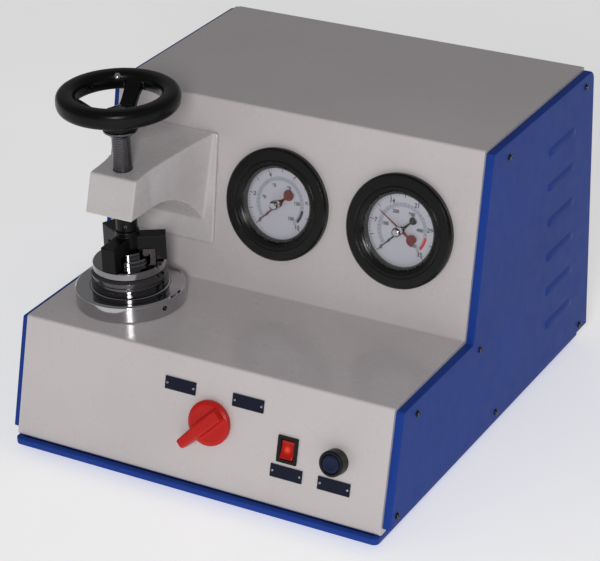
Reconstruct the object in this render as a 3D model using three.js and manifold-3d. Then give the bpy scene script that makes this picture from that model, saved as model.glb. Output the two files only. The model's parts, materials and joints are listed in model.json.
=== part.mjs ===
// Bench-top bursting-strength tester: a folded sheet-metal console with a hand-screwed specimen
// clamp at the front left, a motor-driven fluid press inside, and two maximum-reading gauges.
// Millimetres. +Z up, -Y is the operator's side, +X is to the operator's right.
// The origin is at the middle of the footprint, on the bench top.

import * as THREE from 'three';
import { mergeVertices } from 'three/addons/utils/BufferGeometryUtils.js';
import Module from 'manifold-3d';

// ---------------------------------------------------------------- driving dimensions
const GAP = 0.3;                    // clearance between separate pieces that touch
const SHEET = 2;                    // casing sheet thickness
const BODY_WIDTH = 475;             // width of the folded white casing
const FRONT_Y = -263.5;             // casing's lowest front edge
const SILL_Z = 16.7;                // underside of the casing
const DECK_Z = 155.7;               // top of the front deck
const DECK_BACK_Y = -57.2;          // where the deck meets the gauge panel
const TOP_Z = 367.6;                // top of the casing
const BACK_Y = 260.9;               // back edge of the casing
const LOWER_RUN = 38.1;             // how far the control panel leans back over its height
const UPPER_RUN = 48.3;             // how far the gauge panel leans back over its height
const BEND = 3;                     // bend radius of the casing
const RETURN_LIP = 14;              // inward lips that the other panels fasten to
const HALF_DEPTH = 270.5;           // half of the overall depth
const CENTRE_SHIFT = 2.4;           // centres the footprint, because the selector stands out in front
const ROUND = 24;                   // facets round a small turned part
const LARGE_ROUND = 36;             // facets round the rings and rims

const TRAY = { floorZ: 8, floor: 2, rim: 8.4, corner: 7, hem: 9, inset: 1.5 };
const FOOT = { radius: 14, height: 7.7, x: 190, y: 215 };
const SIDE = { depth: 9, wall: 1.6, inset: 4, bottomZ: 24, corner: 12 };
const LOUVRE = { count: 6, frontY: 142, length: 76, firstZ: 82, pitch: 45, proud: 3.6, rise: 11, wall: 1.2 };
const VENT = { count: 7, x0: -150, x1: -50, firstZ: 250, pitch: 12, height: 4 };
const INLET = { x: 150, z: 66, width: 64, height: 34, thick: 2.5, depth: 22 };

const CLAMP = { x: -153.3, y: -136.3 };          // vertical axis of the specimen clamp
const FLANGE = { radius: 64.2, z0: 156, z1: 176.9, bore: 30.4 };
const CHAMBER = { radius: 30, z0: 96, z1: 174, cavity: 14, cavityZ: 150 };
const LOWER_RING = { radius: 44.7, z0: 177.2, z1: 198, bore: 15.25 };
const UPPER_RING = { z0: 198.3, discZ: 207.5, collarZ: 213.5, z1: 219.5, bore: 15.25 };
const TRIPOD = {
  footZ: 207.8, armZ: 222, topZ: 238.5, reach: 44, foot: 13, width: 18,
  turn: THREE.MathUtils.degToRad(-88),           // direction of the foremost leg
};
const HUB = { radius: 14, z0: 222.5, z1: 245.5, bore: 8.3, boreZ: 229.5 };
const SLEEVE = { radius: 12.5, z0: 245.8, z1: 272 };
const SPINDLE = { radius: 11, nose: 8, noseZ: 230, topZ: 390 };
const ARM = { underZ: 274.5, frontTopZ: 319, rootTopZ: 328.3, throat: 87, bore: 13.2, lidZ: 313 };
const NECK = { halfWidth: 49.5, s0: 52, s1: 170 };      // where the casting passes the gauge panel
const PAD = { foot: 61, head: 56, s0: 45, s1: 177, proud: 4.3 };
const WHEEL = {
  rimZ: 406.2, outer: 70.5, section: 22, height: 22.5, hubZ0: 370.8, hubZ1: 390.5,
  spokeTurn: THREE.MathUtils.degToRad(101),      // direction of the rearmost spoke
  plugTurn: THREE.MathUtils.degToRad(124),       // where the blanking plug sits on the rim
  plug: { radius: 5, height: 2.2 },
};

const GAUGE = { x: [-12, 145.7], s: 109.3, ring: 66, mouth: 45, ledge: 42, proud: 9, depth: 45 };
const POINTER_REST = THREE.MathUtils.degToRad(225);      // counted from 3 o'clock, as seen
const MAX_HAND_REST = [POINTER_REST, THREE.MathUtils.degToRad(147)];

const SELECTOR = {
  x: 16.6, s: 76, disc: 26, thick: 8, grip: 16, reach: 44, back: -22,
  turn: THREE.MathUtils.degToRad(225),           // where the handle points
};
const ROCKER = { x: 115.8, s: 68.6, width: 25.5, height: 31, proud: 2 };
const BUTTON = { x: 176.2, s: 70.5, bezel: 14.7, proud: 15, cap: 10.5 };
const PLATE = { width: 40, height: 15, thick: 1, at: [[-26, 109], [61.3, 109], [117, 41.8], [176.3, 42]] };
const SUPPLY = { x0: 120, x1: 200, y0: 120, y1: 210, z0: 10.3, z1: 56 };

const PRESS_Z = 95;                              // height of the fluid press and its gears
const CYLINDER = { x0: -92, x1: -8, wall: 26, bore: 20, y: -123.5 };
const PISTON = { x0: -29, x1: -13, radius: 19.7 };
const SCREW = { x1: 158, radius: 8 };
const GEAR = { module: 2, wheelTeeth: 42, pinionTeeth: 12, x0: 100, x1: 112, hub: 12, hubX: 130 };
const MOTOR = { x0: 124.3, x1: 214, radius: 28, shaft: 5 };

// ---------------------------------------------------------------- geometry helpers
const wasm = await Module();
wasm.setup();

// Merges shared corners, drops the slivers left at a lathe's poles and turns the faces outward.
function closed(geometry) {
  const bare = geometry.clone();
  bare.deleteAttribute('normal');
  bare.deleteAttribute('uv');
  const merged = mergeVertices(bare, 1e-4);
  const index = merged.index.array;
  const corner = (i) => new THREE.Vector3().fromBufferAttribute(merged.attributes.position, i);
  const kept = [];
  let volume = 0;
  for (let i = 0; i < index.length; i += 3) {
    const [a, b, c] = [index[i], index[i + 1], index[i + 2]];
    if (a === b || b === c || c === a) continue;
    kept.push(a, b, c);
    volume += corner(a).dot(corner(b).cross(corner(c)));
  }
  if (volume < 0) kept.reverse();
  merged.setIndex(kept);
  return merged;
}

function solid(geometry) {
  const source = closed(geometry);
  return new wasm.Manifold(new wasm.Mesh({
    numProp: 3,
    vertProperties: new Float32Array(source.attributes.position.array),
    triVerts: new Uint32Array(source.index.array),
  }));
}

function geometryOf(manifold) {
  const mesh = manifold.getMesh();
  const geometry = new THREE.BufferGeometry();
  geometry.setAttribute('position', new THREE.BufferAttribute(mesh.vertProperties, 3));
  geometry.setIndex(new THREE.BufferAttribute(mesh.triVerts, 1));
  return geometry;
}

function join(...geometries) {
  return geometryOf(geometries.map(solid).reduce((whole, next) => whole.add(next)));
}

function cut(geometry, ...tools) {
  return geometryOf(tools.reduce((whole, tool) => whole.subtract(solid(tool)), solid(geometry)));
}

function common(first, second) {
  return geometryOf(solid(first).intersect(solid(second)));
}

// Extrudes an outline along +Z, from z0 to z1.
function slab(points, z0, z1) {
  const shape = new THREE.Shape(points.map(([x, y]) => new THREE.Vector2(x, y)));
  const geometry = new THREE.ExtrudeGeometry(shape, { depth: z1 - z0, bevelEnabled: false });
  return geometry.translate(0, 0, z0);
}

// Extrudes an outline drawn in the (Y, Z) plane along X, from x0 to x1.
function alongX(points, x0, x1) {
  const turn = new THREE.Matrix4().makeBasis(
    new THREE.Vector3(0, 1, 0), new THREE.Vector3(0, 0, 1), new THREE.Vector3(1, 0, 0));
  return slab(points, x0, x1).applyMatrix4(turn);
}

function box(x0, x1, y0, y1, z0, z1) {
  return slab([[x0, y0], [x1, y0], [x1, y1], [x0, y1]], z0, z1);
}

// Turns a profile of [radius, height] points about +Z.
function turned(profile, segments = ROUND) {
  const points = profile.map(([r, z]) => new THREE.Vector2(r, z));
  return new THREE.LatheGeometry(points, segments).rotateX(Math.PI / 2);
}

function disc(radius, z0, z1, segments = ROUND) {
  return turned([[0, z0], [radius, z0], [radius, z1], [0, z1]], segments);
}

function tube(outer, inner, z0, z1, segments = ROUND) {
  return turned([[inner, z0], [outer, z0], [outer, z1], [inner, z1], [inner, z0]], segments);
}

// Stands a shape that was made along Z along X instead, about the line (y, z).
function layAlongX(geometry, y, z) {
  return geometry.rotateX(Math.PI / 2).rotateZ(Math.PI / 2).translate(0, y, z);
}

function roundedRect(width, height, radius, steps = 3) {
  const [w, h] = [width / 2, height / 2];
  return roundCorners([[w, -h], [w, h], [-w, h], [-w, -h]], radius, steps, true);
}

// Replaces every inner corner of a polyline with an arc of the given radius.
function roundCorners(points, radius, steps = 4, isLoop = false) {
  const count = points.length;
  const result = [];
  points.forEach(([x, y], i) => {
    if (!isLoop && (i === 0 || i === count - 1)) {
      result.push([x, y]);
      return;
    }
    const here = new THREE.Vector2(x, y);
    const before = new THREE.Vector2(...points[(i + count - 1) % count]).sub(here).normalize();
    const after = new THREE.Vector2(...points[(i + 1) % count]).sub(here).normalize();
    const half = Math.acos(before.dot(after)) / 2;
    const centre = before.clone().add(after).normalize().multiplyScalar(radius / Math.sin(half)).add(here);
    const start = before.multiplyScalar(radius / Math.tan(half)).add(here).sub(centre);
    const end = after.multiplyScalar(radius / Math.tan(half)).add(here).sub(centre);
    const sweep = Math.atan2(start.cross(end), start.dot(end));
    for (let k = 0; k <= steps; k += 1) {
      const point = start.clone().rotateAround(new THREE.Vector2(), sweep * k / steps).add(centre);
      result.push([point.x, point.y]);
    }
  });
  return result;
}

// Moves a polyline sideways, to the right of its direction of travel, with mitred corners.
function offset(points, distance, isLoop = false) {
  const count = points.length;
  const normal = (i, j) => {
    const along = new THREE.Vector2(points[j][0] - points[i][0], points[j][1] - points[i][1]).normalize();
    return new THREE.Vector2(along.y, -along.x);
  };
  return points.map(([x, y], i) => {
    const previous = (i + count - 1) % count;
    const next = (i + 1) % count;
    const isStart = !isLoop && i === 0;
    const isEnd = !isLoop && i === count - 1;
    const before = isStart ? normal(i, next) : normal(previous, i);
    const after = isEnd ? normal(previous, i) : normal(i, next);
    const mitre = before.clone().add(after).multiplyScalar(distance / (1 + before.dot(after)));
    return [x + mitre.x, y + mitre.y];
  });
}

function band(points, near, far) {
  return [...offset(points, near), ...offset(points, far).reverse()];
}

// ---------------------------------------------------------------- frames of the two sloping panels
const group = new THREE.Group();
const tester = new THREE.Group();
tester.position.y = CENTRE_SHIFT;
group.add(tester);

// Local X runs to the right, local Y up the slope from the panel's lower edge, local Z outward.
function panelFrame(y, z, run, rise) {
  const frame = new THREE.Group();
  frame.position.set(0, y, z);
  frame.rotation.x = Math.PI / 2 - Math.atan2(run, rise);
  frame.updateMatrix();
  tester.add(frame);
  return frame;
}

const controlPanel = panelFrame(FRONT_Y, SILL_Z, LOWER_RUN, DECK_Z - SILL_Z);
const gaugePanel = panelFrame(DECK_BACK_Y, DECK_Z, UPPER_RUN, TOP_Z - DECK_Z);

function inWorld(geometry, frame) {
  return geometry.clone().applyMatrix4(frame.matrix);
}

const LOOKS = {
  white: { color: 0xe4e0da, roughness: 0.45, metalness: 0 },
  casting: { color: 0xeae6df, roughness: 0.38, metalness: 0 },
  blue: { color: 0x2347a0, roughness: 0.4, metalness: 0 },
  steel: { color: 0xa9acb0, roughness: 0.35, metalness: 1 },
  chrome: { color: 0xdadcde, roughness: 0.08, metalness: 1 },
  blackened: { color: 0x1b1b1d, roughness: 0.4, metalness: 0.6 },
  black: { color: 0x101011, roughness: 0.35, metalness: 0 },
  rubber: { color: 0x1c1c1c, roughness: 0.85, metalness: 0 },
  brass: { color: 0xb08d3c, roughness: 0.35, metalness: 1 },
  iron: { color: 0x54585c, roughness: 0.7, metalness: 0.3 },
  aluminium: { color: 0xb9bbbd, roughness: 0.4, metalness: 1 },
  dial: { color: 0xf1efe8, roughness: 0.6, metalness: 0 },
  glass: { color: 0xdfe9ea, roughness: 0.03, metalness: 0, transparent: true, opacity: 0.25 },
  needleRed: { color: 0x8e1512, roughness: 0.5, metalness: 0 },
  red: { color: 0xd3271c, roughness: 0.3, metalness: 0 },
  litRed: { color: 0xf2331f, roughness: 0.2, metalness: 0 },
  navy: { color: 0x1d2748, roughness: 0.4, metalness: 0 },
};

function part(name, look, geometry, parent = tester) {
  const mesh = new THREE.Mesh(closed(geometry), new THREE.MeshStandardMaterial(LOOKS[look]));
  mesh.name = name;
  parent.add(mesh);
  return mesh;
}

function partAt(name, look, geometry, x, y, z = 0, parent = tester) {
  const mesh = part(name, look, geometry, parent);
  mesh.position.set(x, y, z);
  return mesh;
}

// ---------------------------------------------------------------- casing
const casingLine = [
  [FRONT_Y, SILL_Z], [FRONT_Y + LOWER_RUN, DECK_Z], [DECK_BACK_Y, DECK_Z],
  [DECK_BACK_Y + UPPER_RUN, TOP_Z], [BACK_Y, TOP_Z],
];

// The casing's outline moved inward, with its front leg cut off level at the height footZ.
function insetLine(distance, footZ) {
  const line = offset(casingLine, distance);
  const [[y0, z0], [y1, z1]] = line;
  line[0] = [y0 + (y1 - y0) * (footZ - z0) / (z1 - z0), footZ];
  return line;
}

function makeTray() {
  const depth = 2 * (HALF_DEPTH - TRAY.inset);
  const rimTop = TRAY.floorZ + TRAY.rim;
  const outer = slab(roundedRect(BODY_WIDTH, depth, TRAY.corner), TRAY.floorZ, rimTop);
  const pocketShape = roundedRect(BODY_WIDTH - 2 * TRAY.hem, depth - 2 * TRAY.hem, TRAY.corner - 4);
  const pocket = slab(pocketShape, TRAY.floorZ + TRAY.floor, rimTop + 1);
  partAt('base_tray', 'blue', cut(outer, pocket), 0, -TRAY.inset);
  const { radius, height } = FOOT;
  const profile = [[0, 0], [radius - 2, 0], [radius, 2], [radius - 1, height], [0, height]];
  for (const [row, y] of [['front', -FOOT.y], ['rear', FOOT.y]]) {
    for (const [hand, x] of [['left', -FOOT.x], ['right', FOOT.x]]) {
      partAt(`foot_${row}_${hand}`, 'rubber', turned(profile), x, y);
    }
  }
}

function deckHole(radius) {
  return disc(radius, DECK_Z - 10, DECK_Z + 10).translate(CLAMP.x, CLAMP.y, 0);
}

function panelHole(frame, x, s, radius) {
  return inWorld(disc(radius, -10, 10).translate(x, s, 0), frame);
}

function makeWrapCover() {
  const lipped = [[FRONT_Y + RETURN_LIP, SILL_Z], ...casingLine, [BACK_Y, TOP_Z - RETURN_LIP]];
  const bent = roundCorners(lipped, BEND, 3);
  const halfWidth = BODY_WIDTH / 2;
  const sheet = alongX(band(bent, 0, SHEET), -halfWidth, halfWidth);
  const lipFoot = SILL_Z + SHEET / 2;
  const lipEdge = roundCorners(insetLine(SHEET / 2, lipFoot), BEND, 3);
  const sideLip = [...lipEdge, ...insetLine(RETURN_LIP, lipFoot).reverse()];
  const leftLip = alongX(sideLip, -halfWidth, -halfWidth + SHEET);
  const rightLip = alongX(sideLip, halfWidth - SHEET, halfWidth);
  const reach = NECK.halfWidth + 0.7;
  const throat = box(CLAMP.x - reach, CLAMP.x + reach, NECK.s0 - 0.7, NECK.s1 + 0.7, -10, 10);
  const controls = [
    panelHole(controlPanel, SELECTOR.x, SELECTOR.s, 6),
    panelHole(controlPanel, BUTTON.x, BUTTON.s, 9),
    inWorld(slab(roundedRect(22, 27, 1), -10, 10).translate(ROCKER.x, ROCKER.s, 0), controlPanel),
  ];
  const holes = [
    deckHole(CHAMBER.radius + GAP), inWorld(throat, gaugePanel), ...controls,
    ...GAUGE.x.map((x) => panelHole(gaugePanel, x, GAUGE.s, 50)),
  ];
  part('wrap_cover', 'white', cut(join(sheet, leftLip, rightLip), ...holes));
}

// A wedge for one outward-pressed louvre. The plate's outer face is at local Z = 0, and root is how
// deep the wedge stands in it. Moved down and in by its wall, the same wedge is the louvre's opening.
function louvre(wall, root, length) {
  const top = (LOUVRE.rise - wall) / 2;
  const bottom = -(LOUVRE.rise + wall) / 2;
  const wedge = [[top, -root], [top, 0], [bottom, LOUVRE.proud - wall], [bottom, -root]];
  return alongX(wedge, -length / 2, length / 2);
}

function makeSideCover(name, hand) {
  const line = insetLine(SIDE.inset, SIDE.bottomZ);
  const backTop = roundCorners([line[3], [HALF_DEPTH, line[3][1]], [HALF_DEPTH, SIDE.bottomZ]], SIDE.corner);
  const rim = [...roundCorners(line.slice(0, 4), BEND, 3).slice(0, -1), ...backTop];
  const pan = alongX(rim, 0, SIDE.depth);
  const hollow = alongX(offset(rim, SIDE.wall, true), -1, SIDE.depth - SIDE.wall);
  const hoods = [];
  const slots = [];
  // Local frame of a louvre: X along the slot, Y up, Z out of the plate.
  const stand = new THREE.Matrix4().makeBasis(
    new THREE.Vector3(0, 1, 0), new THREE.Vector3(0, 0, 1), new THREE.Vector3(1, 0, 0));
  for (let i = 0; i < LOUVRE.count; i += 1) {
    const place = new THREE.Matrix4().makeTranslation(
      SIDE.depth, LOUVRE.frontY + LOUVRE.length / 2, LOUVRE.firstZ + i * LOUVRE.pitch).multiply(stand);
    hoods.push(louvre(0, 0.5, LOUVRE.length).applyMatrix4(place));
    slots.push(louvre(LOUVRE.wall, SIDE.wall + 1, LOUVRE.length - 3).applyMatrix4(place));
  }
  const cover = cut(join(cut(pan, hollow), ...hoods), ...slots);
  const mirrored = hand < 0 ? cover.scale(-1, 1, 1) : cover;
  partAt(name, 'blue', mirrored, hand * (BODY_WIDTH / 2 + GAP), 0);
}

function makeRearPanel() {
  const y0 = BACK_Y + GAP;
  const y1 = y0 + SHEET;
  const halfWidth = BODY_WIDTH / 2 - 1;
  const plate = box(-halfWidth, halfWidth, y0, y1, SILL_Z, TOP_Z - 1);
  const vents = [];
  for (let i = 0; i < VENT.count; i += 1) {
    const z = VENT.firstZ + i * VENT.pitch;
    vents.push(box(VENT.x0, VENT.x1, y0 - 5, y1 + 5, z, z + VENT.height));
  }
  // Every part of the inlet is a box round its own axis.
  const round = (width, height, near, far) => box(
    INLET.x - width / 2, INLET.x + width / 2, near, far, INLET.z - height / 2, INLET.z + height / 2);
  part('rear_panel', 'white', cut(plate, round(48, 28, y0 - 5, y1 + 5), ...vents));
  const faceY = y1 + GAP;
  const body = round(46.8, 26.8, y0 - INLET.depth, faceY + 0.1);
  const face = round(INLET.width, INLET.height, faceY, faceY + INLET.thick);
  const socket = round(24, 16, y1 - 14, y1 + 5);
  part('mains_inlet', 'black', cut(join(body, face), socket));
}

// ---------------------------------------------------------------- press frame and specimen clamp
function atClamp(geometry) {
  return geometry.translate(CLAMP.x, CLAMP.y, 0);
}

function makePressFrame() {
  const throatY = -122.5;
  const throatZ = ARM.underZ - ARM.throat;
  const throat = new THREE.Path().absarc(throatY, throatZ, ARM.throat, 0.3, Math.PI / 2).getPoints(10);
  const front = [[-150, ARM.underZ], [-172, ARM.underZ], [-157.5, ARM.frontTopZ], [-140, 320.2]];
  const nose = roundCorners(front, 4, 3);
  const root = [[-18.2, ARM.rootTopZ], [10, ARM.rootTopZ], [10, throat[0].y]];
  const side = [...nose, ...root, ...throat.map((p) => [p.x, p.y])];
  const half = [[31, -180], [31, -130], [35.5, -96], [41, -65], [47, -35], [54, -10]];
  const plan = [...half, ...half.map(([x, y]) => [-x, y]).reverse()];
  const arm = common(
    alongX(side, -60, 60).translate(CLAMP.x, 0, 0),
    slab(plan, 150, 340).translate(CLAMP.x, 0, 0));
  const outside = inWorld(box(-237, 0, -50, 200, GAP, 200), gaugePanel);
  const padShape = [[-PAD.foot, PAD.s0], [PAD.foot, PAD.s0], [PAD.head, PAD.s1], [-PAD.head, PAD.s1]];
  const pad = inWorld(slab(padShape, GAP, PAD.proud).translate(CLAMP.x, 0, 0), gaugePanel);
  const neck = inWorld(
    box(-NECK.halfWidth, NECK.halfWidth, NECK.s0, NECK.s1, -45, 2).translate(CLAMP.x, 0, 0), gaugePanel);
  const halfWidth = NECK.halfWidth;
  const column = box(-halfWidth, halfWidth, -12, 40, 10.3, 335).translate(CLAMP.x, 0, 0);
  const jaw = box(-halfWidth, halfWidth, -195, 0, 112, 153.1).translate(CLAMP.x, 0, 0);
  const foot = box(-60, 60, -30, 60, 10.3, 22).translate(CLAMP.x, 0, 0);
  const casting = join(common(arm, outside), pad, neck, column, jaw, foot);
  part('press_frame', 'casting', cut(
    casting,
    atClamp(disc(ARM.bore, 200, ARM.lidZ)),
    atClamp(disc(SPINDLE.radius + 0.5, 300, 340)),
    atClamp(disc(CHAMBER.radius + GAP, 100, 160))));
  part('spindle_nut', 'brass', atClamp(tube(ARM.bore - GAP, SPINDLE.radius + GAP, 299, ARM.lidZ - GAP)));
}

function makeChamber() {
  const { radius, z0, z1, cavity, cavityZ } = CHAMBER;
  const port = 3;
  const bowl = [[0, z0], [radius, z0], [radius, z1], [cavity, z1], [cavity, cavityZ], [port, cavityZ - 8],
    [0, cavityZ - 8]];
  part('pressure_chamber', 'steel', atClamp(turned(bowl)));
  const dome = [[0, z1 + GAP], [radius - 1, z1 + GAP], [radius - 1, z1 + 2.3], [15, z1 + 2.3], [8, z1 + 4],
    [0, z1 + 4.8]];
  part('diaphragm', 'rubber', atClamp(turned(dome)));
  const { bore } = FLANGE;
  const flange = [[bore, FLANGE.z0], [FLANGE.radius, FLANGE.z0], [FLANGE.radius, FLANGE.z1 - 2],
    [FLANGE.radius - 2, FLANGE.z1], [bore, FLANGE.z1], [bore, FLANGE.z0]];
  part('clamp_flange', 'chrome', atClamp(turned(flange, LARGE_ROUND)));
}

// The lower ring is grooved outside for grip and chamfered round its upper edge.
function makeClampRings() {
  const { radius, z0, z1, bore } = LOWER_RING;
  const lower = [[bore, z0], [radius, z0]];
  for (const groove of [183, 190]) {
    lower.push([radius, groove - 0.8], [radius - 0.8, groove], [radius, groove + 0.8]);
  }
  lower.push([radius, z1 - 3], [radius - 3, z1], [bore, z1], [bore, z0]);
  part('lower_clamp_ring', 'chrome', atClamp(turned(lower, LARGE_ROUND)));
  const up = UPPER_RING;
  const upper = [[up.bore, up.z0], [42, up.z0], [42, up.discZ - 1], [41, up.discZ], [25, up.discZ],
    [25, up.collarZ - 1], [24, up.collarZ], [17.2, up.collarZ], [17.2, up.z1], [up.bore, up.z1],
    [up.bore, up.z0]];
  part('upper_clamp_ring', 'chrome', atClamp(turned(upper, LARGE_ROUND)));
}

function makeTripod() {
  const bulge = [[0, HUB.z0], [HUB.radius - 2, HUB.z0], [HUB.radius, HUB.z0 + 2], [HUB.radius, HUB.z1 - 1],
    [HUB.radius - 1, HUB.z1], [0, HUB.z1]];
  const limbs = [0, 1, 2].flatMap((i) => {
    const turn = TRIPOD.turn + i * 2 * Math.PI / 3;
    const { width, reach, foot } = TRIPOD;
    return [
      box(0, reach, -width / 2, width / 2, TRIPOD.armZ, TRIPOD.topZ).rotateZ(turn),
      box(reach - foot, reach, -width / 2, width / 2, TRIPOD.footZ, TRIPOD.topZ).rotateZ(turn),
    ];
  });
  const bore = disc(HUB.bore, HUB.boreZ, HUB.z1 + 5);
  part('tripod', 'blackened', atClamp(cut(join(turned(bulge), ...limbs), bore)));
  const collar = tube(SLEEVE.radius, HUB.bore, SLEEVE.z0, SLEEVE.z1);
  part('swivel_sleeve', 'blackened', atClamp(collar));
}

function makeSpindle() {
  const { radius, nose, noseZ, topZ } = SPINDLE;
  const shoulder = SLEEVE.z1 + GAP;
  const profile = [[0, noseZ], [nose, noseZ], [nose, shoulder], [radius, shoulder], [radius, topZ - 1],
    [radius - 1, topZ], [0, topZ]];
  part('spindle', 'chrome', atClamp(turned(profile)));
  const bore = radius + GAP;
  const collar = [[bore, 361.5], [13, 361.5], [20, 370.5], [bore, 370.5], [bore, 361.5]];
  part('spindle_collar', 'steel', atClamp(turned(collar)));
  const capZ = WHEEL.hubZ1 + GAP;
  const dome = [[0, capZ], [13, capZ], [13, capZ + 2], [10, capZ + 4.5], [0, capZ + 5.5]];
  part('handwheel_cap_nut', 'chrome', atClamp(turned(dome, 24)));
}

function makeHandwheel() {
  const { rimZ, outer, section, height, hubZ0, hubZ1 } = WHEEL;
  const centre = outer - section / 2;
  const rimSection = [];
  for (let k = 0; k < 10; k += 1) {
    const angle = 2 * Math.PI * (k + 0.5) / 10;
    rimSection.push([centre + section / 2 * Math.cos(angle) / Math.cos(Math.PI / 10),
      rimZ + height / 2 * Math.sin(angle)]);
  }
  const rim = turned([...rimSection, rimSection[0]], LARGE_ROUND);
  const hub = turned([[0, hubZ0], [20, hubZ0], [20, hubZ0 + 9], [18, hubZ0 + 11], [18, hubZ1], [0, hubZ1]]);
  // A spoke climbs from the hub to the middle of the rim.
  const spokes = [0, 1, 2].map((i) => {
    const side = [[-5, 375], [12, 375], [centre, rimZ - 7], [centre, rimZ + 5], [12, 388.5], [-5, 388.5]];
    const bar = slab(side, -8, 8).rotateX(Math.PI / 2);
    return bar.rotateZ(WHEEL.spokeTurn + i * 2 * Math.PI / 3);
  });
  const bore = disc(SPINDLE.radius + GAP, hubZ0 - 5, hubZ1 + 5);
  part('handwheel', 'black', atClamp(cut(join(rim, hub, ...spokes), bore)));
  // The plug stands on the facet of the rim that faces in and up.
  const [upper, lower] = [rimSection[3], rimSection[4]];
  const slope = Math.atan2(upper[0] - lower[0], upper[1] - lower[1]);
  const plug = disc(WHEEL.plug.radius, GAP, GAP + WHEEL.plug.height, 16).rotateY(slope - Math.PI / 2)
    .translate((upper[0] + lower[0]) / 2, 0, (upper[1] + lower[1]) / 2).rotateZ(WHEEL.plugTurn);
  part('handwheel_plug', 'chrome', atClamp(plug));
}

// ---------------------------------------------------------------- gauges
// A hand lies along local X from its pivot and is turned about the dial's normal.
function hand(length, tail, halfWidth, z0, z1) {
  const blade = [[-tail, -halfWidth * 2.2], [-tail, halfWidth * 2.2], [-6, halfWidth], [0, halfWidth * 1.4],
    [length, 0.4], [length, -0.4], [0, -halfWidth * 1.4], [-6, -halfWidth]];
  return slab(blade, z0, z1);
}

function makeGauge(side, x, maxTurn) {
  const { ring, mouth, ledge, proud, depth, s } = GAUGE;
  const bezel = [[mouth, 2.7], [ledge, 2.7], [ledge, -3], [45.8, -3], [45.8, GAP], [ring, GAP],
    [ring, proud - 3], [ring - 3, proud], [mouth + 2, proud], [mouth, proud - 2], [mouth, 2.7]];
  const cup = [[0, -depth], [48, -depth], [49.5, -depth + 2], [49.5, -GAP], [46.2, -GAP], [46.2, -depth + 3],
    [0, -depth + 3]];
  const placed = (name, look, geometry) => partAt(name, look, geometry, x, s, 0, gaugePanel);
  placed(`${side}_gauge_bezel`, 'black', turned(bezel, LARGE_ROUND));
  const inlet = disc(3.6, -depth - 5, -depth + 8, 12).translate(0, -30, 0);
  placed(`${side}_gauge_case`, 'iron', cut(turned(cup), inlet));
  placed(`${side}_gauge_dial`, 'dial', tube(45.5, 2.4, -5.5, -4.2));
  placed(`${side}_gauge_glass`, 'glass', tube(mouth - GAP, 2, 3, 5));
  const pointer = join(hand(36, 17, 1.1, -2.7, -1.9), disc(4, -2.7, -1.7, 20), disc(2, -9, -2, 16));
  placed(`${side}_pointer`, 'black', pointer.rotateZ(POINTER_REST));
  const maxHand = join(hand(34, 19, 1, -0.9, -0.3), disc(3, -0.9, 0.3, 20));
  placed(`${side}_max_hand`, 'needleRed', maxHand.rotateZ(maxTurn));
  const knob = join(disc(1.5, 0.6, 6, 16), turned([[0, 5.4], [5.5, 5.4], [5.5, 13], [4.2, 15], [0, 15]], 24));
  placed(`${side}_reset_knob`, 'chrome', knob);
}

// ---------------------------------------------------------------- controls
function makeControls() {
  const { disc: radius, thick, grip, reach, back } = SELECTOR;
  const plate = turned([[0, GAP], [radius, GAP], [radius, thick - 2], [radius - 2, thick], [0, thick]]);
  const handle = slab([[back, -8.5], [back, 8.5], [reach, 6], [reach, -6]], 3, grip);
  const wing = handle.rotateZ(SELECTOR.turn);
  const stem = disc(4, -24, 5, 20);
  partAt('selector_knob', 'red', join(plate, wing, stem), SELECTOR.x, SELECTOR.s, 0, controlPanel);
  const block = cut(box(-20, 20, -20, 20, -48, -SHEET - GAP), disc(4 + GAP, -26, 5, 20));
  partAt('selector_switch', 'black', block, SELECTOR.x, SELECTOR.s, 0, controlPanel);

  const frame = join(
    slab(roundedRect(ROCKER.width, ROCKER.height, 1.5), GAP, ROCKER.proud),
    slab(roundedRect(21, 26, 1), -22, 1));
  const well = box(-8.2, 8.2, -11.9, 11.9, -12, 5);
  partAt('rocker_bezel', 'black', cut(frame, well), ROCKER.x, ROCKER.s, 0, controlPanel);
  const profile = [[-10.4, 3.4], [0, 2], [10.4, 0.4], [9, -6], [-9, -6]];
  partAt('rocker', 'litRed', alongX(profile, -7.8, 7.8), ROCKER.x, ROCKER.s, 0, controlPanel);

  const { bezel, proud, cap } = BUTTON;
  const collar = [[6, -12], [8.7, -12], [8.7, GAP], [bezel, GAP], [bezel, proud - 2], [bezel - 2, proud],
    [cap + GAP, proud], [cap + GAP, 2], [6, 2], [6, -12]];
  partAt('button_bezel', 'black', turned(collar, 24), BUTTON.x, BUTTON.s, 0, controlPanel);
  const plunger = turned([[0, -11], [5.5, -11], [5.5, 8], [cap, 8], [cap, proud - 0.6],
    [cap - 1.5, proud + 0.6], [0, proud + 0.6]]);
  partAt('button_cap', 'navy', plunger, BUTTON.x, BUTTON.s, 0, controlPanel);
  const contacts = box(-12, 12, -15, 15, -48, -16);
  partAt('button_contact_block', 'black', contacts, BUTTON.x, BUTTON.s, 0, controlPanel);

  PLATE.at.forEach(([x, s], i) => {
    const plaque = slab(roundedRect(PLATE.width, PLATE.height, 0.8), GAP, GAP + PLATE.thick);
    partAt(`label_plate_${i + 1}`, 'navy', plaque, x, s, 0, controlPanel);
  });
}

// ---------------------------------------------------------------- fluid press and its drive
function gearOutline(teeth) {
  const pitch = GEAR.module * teeth / 2;
  const [root, tip] = [pitch - 1.15 * GEAR.module, pitch + 0.8 * GEAR.module];
  const step = 2 * Math.PI / teeth;
  const points = [];
  for (let i = 0; i < teeth; i += 1) {
    for (const [share, radius] of [[-0.31, root], [-0.11, tip], [0.11, tip], [0.31, root]]) {
      const angle = (i + share) * step;
      points.push([radius * Math.cos(angle), radius * Math.sin(angle)]);
    }
  }
  return points;
}

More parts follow.
